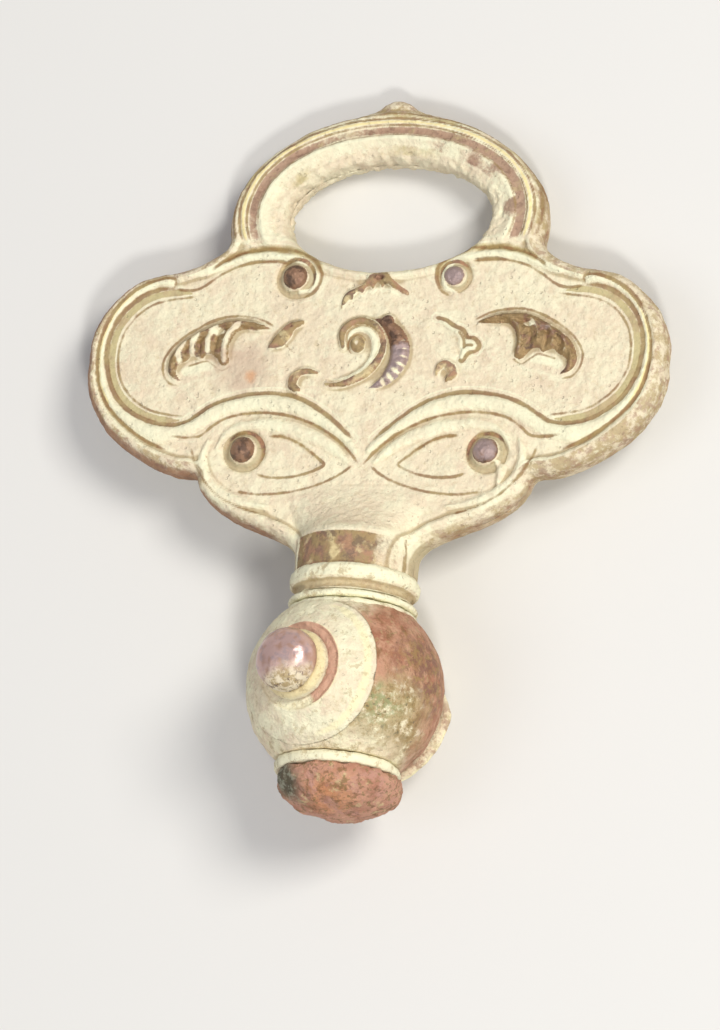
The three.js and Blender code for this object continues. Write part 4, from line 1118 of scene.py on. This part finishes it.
def sampled(field, x, y):
    """The chart's value at each place."""
    column = np.clip((x - CHART_LOW[0]) / CELL, 0, field.shape[1] - 1.001)
    row = np.clip((y - CHART_LOW[1]) / CELL, 0, field.shape[0] - 1.001)
    c, r = column.astype(int), row.astype(int)
    fc, fr = column - c, row - r
    low = field[r, c] * (1 - fc) + field[r, c + 1] * fc
    high = field[r + 1, c] * (1 - fc) + field[r + 1, c + 1] * fc
    return low * (1 - fr) + high * fr


def rolled_over(x, y, distance, width):
    """Moves places near an edge towards it, so that a rounded edge there has faces of even size."""
    away = sampled(distance, x, y)
    turn = np.clip(away / width, 0, 1) * math.pi / 2
    move = np.where(away < width, away - width * (1 - np.cos(turn)), 0)
    slope_y, slope_x = np.gradient(distance, CELL)
    return x - sampled(slope_x, x, y) * move, y - sampled(slope_y, x, y) * move, np.sin(turn)


# The round neck, which runs out into the plate in a rounded cone, and the band sunk into it
NECK_ROUND = 4.0
NECK_TAPER = ([0, 9.75, 10.1, 10.6, 11.3, 12.2, 13.0], [NECK_ROUND, NECK_ROUND, 3.75, 3.2, 2.5, 1.7, 1.0])
NECK_SPREAD = ([9.75, 10.4, 13.0], [NECK_ROUND, NECK_ROUND, 4.9])
SUNK_BAND = (7.45, 9.75, 3.45, 0.22)
EDGE_ROLL = 0.95
HOLE_ROLL = 0.5

# Across the bow, how far in its brown edge reaches and how strong it is, and how the sunk band's brown fades.
# The brown edge is partly painted shade and a painted reddish reflection, wider and stronger on the left.
EDGE_REACH = ([-20, -12, 0], [6, 2.5, 1])
EDGE_BROWN_AND_SHADE = ([-20, -12, 6, 20], [1.1, 0.95, 0.7, 0.55])
BAND_FADE = ([1.2, 2.6], [1, 0.5])


def neck_level(x, y):
    """How high the round neck stands over the middle plane, and how much of its sunk band is there."""
    low, high, half, depth = SUNK_BAND
    sunk = ease(y, low - 0.03, low + 0.06) * (1 - ease(y, high - 0.06, high + 0.03)) * (
        1 - ease(np.abs(x), half - 0.05, half + 0.05))
    radius = np.interp(y, *NECK_TAPER)
    half_width = np.interp(y, *NECK_SPREAD)
    swell = radius * np.sqrt(np.clip(1 - (x / half_width) ** 2, 0, None))
    fillet = np.exp(-((np.abs(x) - half - 0.28) / 0.1) ** 2) * (1 - ease(y, 9.6, 10.0))
    return swell - depth * sunk - 0.08 * fillet, sunk, fillet


def soft_maximum(a, b, reach):
    return np.maximum(a, b) + np.clip(reach - np.abs(a - b), 0, None) ** 2 / (4 * reach)


def off_seam(place):
    return place.z > 0.02


def by_hole(place):
    """Whether a place is on the wall of the ring's hole, where the crust is coarsest."""
    x, y = place.x - HOLE_MIDDLE[0], place.y - HOLE_MIDDLE[1]
    return y > -1.5 and math.hypot(x / HOLE_HALF[0], y / HOLE_HALF[1]) < 1.13


def make_bow():
    """The cast bow, as the two halves that its mould made, which meet on the seam round its edge."""
    edge, _ = nearest(outline, 6)
    bore, _ = nearest(hole_line + hole_line[:1], 6)
    relief = bow_relief(edge, bore)
    blank = bow_blank()
    places = np.array([vert.co[:] for vert in blank.verts])
    x, y, edge_turn = rolled_over(places[:, 0], places[:, 1], edge, EDGE_ROLL)
    x, y, hole_turn = rolled_over(x, y, bore, HOLE_ROLL)
    level = SEAM_HALF + (sampled(relief.height, x, y) - SEAM_HALF) * edge_turn * hole_turn
    neck, sunk, fillet = neck_level(x, y)
    softness = 0.7 + 0.7 * ease(y, 10, 11) * (1 - ease(y, 12.8, 13.5))
    level = np.where(y < 13.5, soft_maximum(level, neck, softness), level)
    marks = {name: sampled(field, x, y) for name, field in relief.marks.items()}
    marks["tan"] = np.maximum(marks["tan"], sunk * np.interp(x, *BAND_FADE))
    marks["line"] = np.maximum(marks["line"] * (1 - sunk), fillet * 0.9)
    marks["ridge"] = np.maximum(marks["ridge"], (y < 10.2) * (1 - sunk) * (1 - fillet) * 0.5)
    # Brown on the outermost rolled edge: partly the crust's own, partly painted shade and a painted reddish
    # reflection, wider and stronger on the left.
    edge_brown_shade_and_reflection = (1 - edge_turn ** np.interp(x, *EDGE_REACH)) * np.interp(x, *EDGE_BROWN_AND_SHADE)
    marks["shade"] = edge_brown_shade_and_reflection * ease(y, 9.2, 10.5)
    finish = bow_finish()
    full = (BLANK - TRIMMED) * SKIN_PART
    for name, side, seed in (("bow_front", 1, 0.0), ("bow_back", -1, 30.0)):
        half = blank.copy()
        for vert, px, py, height in zip(half.verts, x, y, level):
            vert.co = (px, py, min(vert.co.z / full, 1) * height)
        for amount, scale, more in CRUST_SWELLS:
            roughen(half, amount, scale, seed + more, off_seam)
        amount, scale, more = BORE_SWELL
        roughen(half, amount, scale, seed + more, lambda place: off_seam(place) and by_hole(place))
        if side < 0:
            bmesh.ops.scale(half, verts=half.verts[:], vec=(1, 1, -1))
            bmesh.ops.recalc_face_normals(half, faces=half.faces[:])
        add_piece(half, name, KEY, finish, "bow", "bow_casting", marks)
    blank.free()


# The neck's collar, its washer and the spigot, turned on the key's long axis
RUNNING_FIT = 0.1
WASHER_HEIGHT = 0.45
COVE_HEIGHT = 0.65
COLLAR_HEIGHT = 1.1
BELT_COLLAR_TOP = 5.15
NECK_RADIUS = 4.25
SPIGOT_RADIUS = 1.5
SPIGOT_BORE = SPIGOT_RADIUS + RUNNING_FIT
WASHER_BOTTOM = BELT_COLLAR_TOP + RUNNING_FIT
WASHER_TOP = WASHER_BOTTOM + WASHER_HEIGHT
COVE_BOTTOM = WASHER_TOP + RUNNING_FIT
COLLAR_BOTTOM = COVE_BOTTOM + COVE_HEIGHT
COLLAR_TOP = COLLAR_BOTTOM + COLLAR_HEIGHT
SPIGOT_HEAD = (1.75, 2.1, 3.75)


def marked_by(bm, levels):
    """Marks along a turned piece from {name: [(height, amount), ...]}."""
    heights = np.array([vert.co.y for vert in bm.verts])
    return {name: np.interp(heights, *zip(*stops)) for name, stops in levels.items()}


def make_neck():
    low, radius, head_top = SPIGOT_HEAD
    profile = fine_profile([
        (0, low), (radius * 0.7, low), (radius, low + 0.35), (radius, head_top - 0.1),
        (SPIGOT_RADIUS, head_top), (SPIGOT_RADIUS, COVE_BOTTOM), (NECK_RADIUS - 0.25, COVE_BOTTOM),
        (NECK_RADIUS - 0.45, COVE_BOTTOM + 0.15), (NECK_RADIUS - 0.55, COVE_BOTTOM + 0.35),
        (NECK_RADIUS - 0.5, COLLAR_BOTTOM - 0.12),
        (NECK_RADIUS - 0.2, COLLAR_BOTTOM - 0.02), (NECK_RADIUS, COLLAR_BOTTOM + 0.2),
        (NECK_RADIUS + 0.03, COLLAR_BOTTOM + 0.5), (NECK_RADIUS, COLLAR_TOP - 0.3),
        (NECK_RADIUS - 0.18, COLLAR_TOP - 0.06), (NECK_RADIUS - 0.5, COLLAR_TOP), (0, COLLAR_TOP)])
    bm = spun(profile, 128)
    marks = marked_by(bm, {
        "ridge": [(COLLAR_BOTTOM, 0), (COLLAR_BOTTOM + 0.2, 0.9), (COLLAR_TOP, 0.9)],
        "cavity": [
            (COVE_BOTTOM, 0.3), (COVE_BOTTOM + 0.2, 1),
            (COLLAR_BOTTOM - 0.05, 0.9), (COLLAR_BOTTOM + 0.1, 0)]})
    roughen(bm, 0.05, 1.2, 2.0)
    add_piece(bm, "neck_collar", KEY, turned_finish("crusted collar", ROLL_OLIVE), "bow", "bow_casting",
              marks)
    bm = turned([
        (SPIGOT_BORE, WASHER_BOTTOM), (NECK_RADIUS - 0.2, WASHER_BOTTOM),
        (NECK_RADIUS - 0.05, WASHER_BOTTOM + 0.1), (NECK_RADIUS, WASHER_BOTTOM + 0.22),
        (NECK_RADIUS - 0.05, WASHER_TOP - 0.1), (NECK_RADIUS - 0.2, WASHER_TOP),
        (SPIGOT_BORE, WASHER_TOP)], 128)
    marks = marked_by(bm, {"ridge": [(WASHER_BOTTOM, 0.9), (WASHER_TOP, 0.9)]})
    roughen(bm, 0.04, 1.4, 5.0)
    add_piece(bm, "neck_ring", KEY, turned_finish("crusted ring", OLIVE), "bow", "neck_washer",
              marks)


# The knuckle: a belt and two caps make the ball
BALL = 6.5
BELT_HALF = 4.3
BELT_BORE = 3.9
BELT_SUNK = 0.05
FOOT = -5.0
SEAT_GAP = 0.1
CAP_WALL = 1.15
NEAR_LAND = (2.98, 5.65)
FAR_LAND = (2.3, 5.3)
FAR_RIM = 0.6
RIM_HEIGHT = 0.45
RIM_TURN = math.radians(52)
LIP_REACH = 0.8
LIP_RISE = 0.02
LAND_TURN = math.radians(25)
PIN_HOLE = 1.05


def ball_arc(start, end, count, radius):
    """(radius, height) points of the ball's outline between two heights."""
    heights = [start + (end - start) * i / count for i in range(count + 1)]
    return [(math.sqrt(radius ** 2 - height ** 2), height) for height in heights]


def make_belt():
    outer = ball_arc(-BELT_HALF, BELT_HALF, 44, BALL - BELT_SUNK)
    foot = fine_profile([(BELT_BORE, -BELT_HALF), outer[0]])
    top = fine_profile([outer[-1], (BELT_BORE, BELT_HALF)])[1:]
    bore = fine_profile([(BELT_BORE, BELT_HALF), (BELT_BORE, -BELT_HALF)], 0.5)[1:-1]
    profile = foot + outer[1:] + top + bore
    bm = spun(profile, 200)
    bm.transform(ABOUT_PIN)
    trim(bm, (0, BELT_COLLAR_TOP - 0.1, 0), (0, 1, 0))
    trim(bm, (0, FOOT, 0), (0, -1, 0))
    roughen(bm, 0.07, 0.8, 3.0)
    add_piece(bm, "ball_belt", KNUCKLE, belt_finish(), "knuckle", "knuckle_belt")
    bm = turned([
        (SPIGOT_BORE, 4.35), (3.6, 4.15), (NECK_RADIUS - 0.12, 4.3), (NECK_RADIUS + 0.03, 4.6),
        (NECK_RADIUS + 0.02, BELT_COLLAR_TOP - 0.25), (NECK_RADIUS - 0.12, BELT_COLLAR_TOP - 0.06),
        (NECK_RADIUS - 0.3, BELT_COLLAR_TOP), (SPIGOT_BORE, BELT_COLLAR_TOP)], 128)
    marks = marked_by(bm, {"ridge": [(4.4, 0.1), (5.1, 0.8)], "cavity": [(4.1, 0.5), (4.6, 0.1)]})
    roughen(bm, 0.05, 1.2, 9.0)
    add_piece(bm, "ball_collar", KNUCKLE, turned_finish("crusted ball collar", OLIVE), "knuckle",
              "knuckle_belt", marks)


def wear_rim(bm, edge):
    """Wears a standing rim down to the ball except on the side towards the shank's stub."""
    for vert in bm.verts:
        radius = math.hypot(vert.co.x, vert.co.z)
        height = vert.co.y
        if height > edge - 0.01 and radius > BELT_BORE and height < BALL:
            plain = math.sqrt(BALL ** 2 - height ** 2)
            if radius > plain:
                kept = float(ease(math.cos(math.atan2(vert.co.z, vert.co.x) + RIM_TURN), 0.35, 0.8))
                scale = (plain + (radius - plain) * kept) / radius
                vert.co.x *= scale
                vert.co.z *= scale


def raise_lip(bm, foot):
    """Lets the crust's edge stand a little proud of the belt on the right."""
    for vert in bm.verts:
        radius = math.hypot(vert.co.x, vert.co.z)
        above = vert.co.y - foot
        if radius > BELT_BORE and -0.01 < above < LIP_REACH:
            right = float(ease(vert.co.x / radius, 0.1, 0.7))
            scale = 1 + LIP_RISE * right * (1 - above / LIP_REACH)
            vert.co.x *= scale
            vert.co.z *= scale


def make_cap(name, node, land, turn, rim=0.0):
    """One domed cap of the ball. Its rim may stand out past the belt."""
    land_radius, land_height = land
    edge = BELT_HALF + SEAT_GAP
    lip = BELT_BORE - SEAT_GAP
    inner = lip - 0.8
    inner_ball = BALL - CAP_WALL
    under_land = land_height - CAP_WALL
    crown_end = math.sqrt(BALL ** 2 - land_radius ** 2)
    foot = edge + (RIM_HEIGHT * 2.2 if rim else -0.14)
    crown = ball_arc(foot, crown_end - 0.06, 30, BALL - 0.02)
    if rim:
        edge_radius = math.sqrt(BALL ** 2 - edge ** 2)
        lip_over = smooth_path([
            (edge_radius + rim * 0.8, edge), (edge_radius + rim, edge + RIM_HEIGHT * 0.4),
            (edge_radius + rim * 0.75, edge + RIM_HEIGHT), crown[0]], 6)
        crown = [tuple(point) for point in lip_over[:-1]] + crown
    under = min(math.sqrt(inner_ball ** 2 - under_land ** 2), inner)
    lower = fine_profile([
        (PIN_HOLE, under_land), (under, under_land), (inner, edge), (inner, edge - 0.9), (lip, edge - 0.9),
        (lip, edge), (crown[0][0] - 0.25, edge), crown[0]], 0.2)
    upper = fine_profile([
        crown[-1], (land_radius - 0.06, crown_end - 0.02), (land_radius - 0.1, land_height + 0.05),
        (land_radius - 0.2, land_height), (PIN_HOLE, land_height)], 0.15)[1:]
    bm = spun(lower + crown[1:] + upper, 200)
    heights = np.array([vert.co.y for vert in bm.verts])
    radii = np.array([math.hypot(vert.co.x, vert.co.z) for vert in bm.verts])
    around = np.array([math.atan2(vert.co.z, vert.co.x) for vert in bm.verts])
    # The pale ridge along the cap's edge and round its land is a painted highlight, kept to the right side.
    by_edge = 1 - np.abs(heights - edge - 0.25) / 0.4
    by_land = 1 - np.abs(radii - land_radius) / 0.2
    ridge = np.maximum(by_edge, by_land).clip(0, 1) * (radii > land_radius - 0.3)
    on_land = ((radii < land_radius - 0.02) & (heights > under_land + 0.2)).astype(float)
    marks = {
        "ridge": ridge * ease(np.cos(around), -0.1, 0.6),
        "land": on_land * ease(np.cos(around + LAND_TURN), -0.35, 0.45)}
    if rim:
        wear_rim(bm, edge)
    else:
        raise_lip(bm, foot)
    bm.transform(turn)
    roughen(bm, 0.06, 0.7, 4.0 + land_radius)
    add_piece(bm, name, KNUCKLE, cap_finish(), "knuckle", node, marks)


# The cross pin and what it clamps
PIN_RADIUS = 0.95
HEAD_RADIUS = 2.1
HEAD_DOME = 1.62
HEAD_SKIRT = 0.45
TAIL_RADIUS = 1.5
CUP_RADIUS = 2.32
ROVE_RADIUS = 2.1
CUP_BOTTOM = NEAR_LAND[1] + SEAT_GAP
CUP_TOP = CUP_BOTTOM + 0.95
HEAD_BOTTOM = CUP_TOP + SEAT_GAP
ROVE_TOP = -(FAR_LAND[1] + SEAT_GAP)
ROVE_BOTTOM = ROVE_TOP - 0.45
TAIL_TOP = ROVE_BOTTOM - SEAT_GAP
TAIL_BOTTOM = TAIL_TOP - 0.5


def make_pin():
    dome = [(HEAD_RADIUS * math.cos(t), HEAD_BOTTOM + HEAD_SKIRT + HEAD_DOME * math.sin(t))
            for t in [math.radians(90 * i / 16) for i in range(16)]]
    profile = fine_profile([
        (0, TAIL_BOTTOM), (0.9, TAIL_BOTTOM), (TAIL_RADIUS - 0.1, TAIL_BOTTOM + 0.2), (TAIL_RADIUS, TAIL_TOP),
        (PIN_RADIUS, TAIL_TOP), (PIN_RADIUS, HEAD_BOTTOM), (HEAD_RADIUS - 0.15, HEAD_BOTTOM),
        (HEAD_RADIUS, HEAD_BOTTOM + 0.15), dome[0]], 0.2)
    profile = profile + dome[1:] + [(0, HEAD_BOTTOM + HEAD_SKIRT + HEAD_DOME)]
    bm = spun(profile, 96)
    bm.transform(ABOUT_PIN)
    roughen(bm, 0.05, 0.9, 11.0)
    add_piece(bm, "button_pin", KNUCKLE, pin_finish(), "knuckle", "cross_pin")
    cup = CUP_RADIUS
    bm = turned([
        (PIN_HOLE, CUP_BOTTOM), (cup - 0.1, CUP_BOTTOM), (cup, CUP_BOTTOM + 0.12), (cup, CUP_BOTTOM + 0.5),
        (cup - 0.1, CUP_BOTTOM + 0.75), (cup - 0.3, CUP_TOP), (cup - 0.5, CUP_TOP - 0.03),
        (PIN_HOLE, CUP_TOP - 0.03)], 128)
    marks = marked_by(bm, {
        "ridge": [(CUP_BOTTOM, 0.2), (CUP_TOP, 1)], "cavity": [(CUP_BOTTOM, 0.8), (CUP_BOTTOM + 0.4, 0.1)]})
    bm.transform(ABOUT_PIN)
    roughen(bm, 0.04, 1.4, 12.0)
    finish = turned_finish("crusted cup", ROLL_BROWN, YELLOW_CREAM)
    add_piece(bm, "button_cup", KNUCKLE, finish, "knuckle", "cup_washer", marks)
    bm = turned([
        (PIN_HOLE, ROVE_BOTTOM), (ROVE_RADIUS - 0.12, ROVE_BOTTOM), (ROVE_RADIUS, ROVE_BOTTOM + 0.12),
        (ROVE_RADIUS, ROVE_TOP), (PIN_HOLE, ROVE_TOP)], 96)
    bm.transform(ABOUT_PIN)
    roughen(bm, 0.03, 1.4, 13.0)
    add_piece(bm, "tail_rove", KNUCKLE, plain_bronze_finish(), "knuckle", "far_rove")


# The ferrule and the stub of the shank
FERRULE_TOP = FOOT - SEAT_GAP
FERRULE_BOTTOM = FERRULE_TOP - 0.75
STUB_TOP = FERRULE_BOTTOM - SEAT_GAP
STUB_RADIUS = 4.1
TANG_SIDE = 3.2
TANG_TOP = 2.1
STUB_DOME = 2.35
STUB_OFFSET = 0.3


def make_shank():
    bore = TANG_SIDE / math.sqrt(2) + SEAT_GAP
    radius = STUB_RADIUS
    bm = turned([
        (bore, FERRULE_BOTTOM), (radius - 0.12, FERRULE_BOTTOM), (radius, FERRULE_BOTTOM + 0.12),
        (radius + 0.02, FERRULE_TOP - 0.3), (radius - 0.1, FERRULE_TOP - 0.05), (radius - 0.25, FERRULE_TOP),
        (bore, FERRULE_TOP)], 144)
    marks = marked_by(bm, {
        "ridge": [(FERRULE_BOTTOM, 0.7), (FERRULE_TOP, 0.9)],
        "cavity": [(FERRULE_BOTTOM, 0.4), (FERRULE_BOTTOM + 0.2, 0)]})
    roughen(bm, 0.06, 1.0, 15.0)
    add_piece(bm, "shank_collar", KNUCKLE, turned_finish("crusted shank collar", COPPER), "knuckle",
              "shank_ferrule", marks)
    dome = [(radius * math.cos(t), STUB_TOP - 0.35 - STUB_DOME * math.sin(t))
            for t in [math.radians(90 * i / 32) for i in range(32)]]
    upper = fine_profile([dome[0], (radius - 0.15, STUB_TOP), (0, STUB_TOP)])[1:]
    bm = spun([(0, dome[-1][1] - 0.01)] + dome[::-1] + upper, 160)
    bmesh.ops.translate(bm, verts=bm.verts[:], vec=(STUB_OFFSET, 0, 0))
    roughen(bm, 0.16, 0.45, 21.0)
    roughen(bm, 0.1, 1.5, 23.0)
    tang = bmesh.ops.create_cube(bm, size=1)["verts"]
    tang_height = TANG_TOP - STUB_TOP + 0.5
    bmesh.ops.scale(bm, verts=tang, vec=(TANG_SIDE, tang_height, TANG_SIDE))
    bmesh.ops.translate(bm, verts=tang, vec=(0, TANG_TOP - tang_height / 2, 0))
    add_piece(bm, "broken_shank", KNUCKLE, stub_finish(), "knuckle", "shank_stub")


def floor():
    bm = bmesh.new()
    bmesh.ops.create_grid(bm, x_segments=1, y_segments=1, size=2)
    mesh = bpy.data.meshes.new("floor")
    bm.to_mesh(mesh)
    bm.free()
    mesh.materials.append(floor_finish())
    made = bpy.data.objects.new("floor", mesh)
    bpy.context.scene.collection.objects.link(made)


def world():
    made = bpy.data.worlds.new("soft room")
    made.use_nodes = True
    background = made.node_tree.nodes["Background"]
    background.inputs["Color"].default_value = (0.9, 0.92, 1.0, 1)
    background.inputs["Strength"].default_value = 0.3
    bpy.context.scene.world = made


# Name, direction, distance in metres, size, power and colour
LAMPS = (
    ("key light", (0.75, 0.25, 1.0), 0.5, 0.16, 1.62, (1.0, 0.98, 0.93)),
    ("fill light", (-0.5, -0.3, 1.0), 0.6, 0.35, 0.55, (0.97, 0.97, 1.0)),
    ("low light", (0.45, -0.6, 1.0), 0.5, 0.06, 0.85, (1.0, 1.0, 0.98)))

camera()
world()
floor()
for lamp_values in LAMPS:
    lamp(*lamp_values)
make_bow()
make_neck()
make_belt()
make_cap("near_dome", "near_cap", NEAR_LAND, ABOUT_PIN)
make_cap("far_dome", "far_cap", FAR_LAND, Matrix.Rotation(math.radians(-90), 4, "X"), FAR_RIM)
make_pin()
make_shank()
inner = frame["nodes"]["inner_washer"]
inner.data.materials.clear()
inner.data.materials.append(plain_bronze_finish())

view = bpy.context.scene.view_settings
view.view_transform = "Standard"
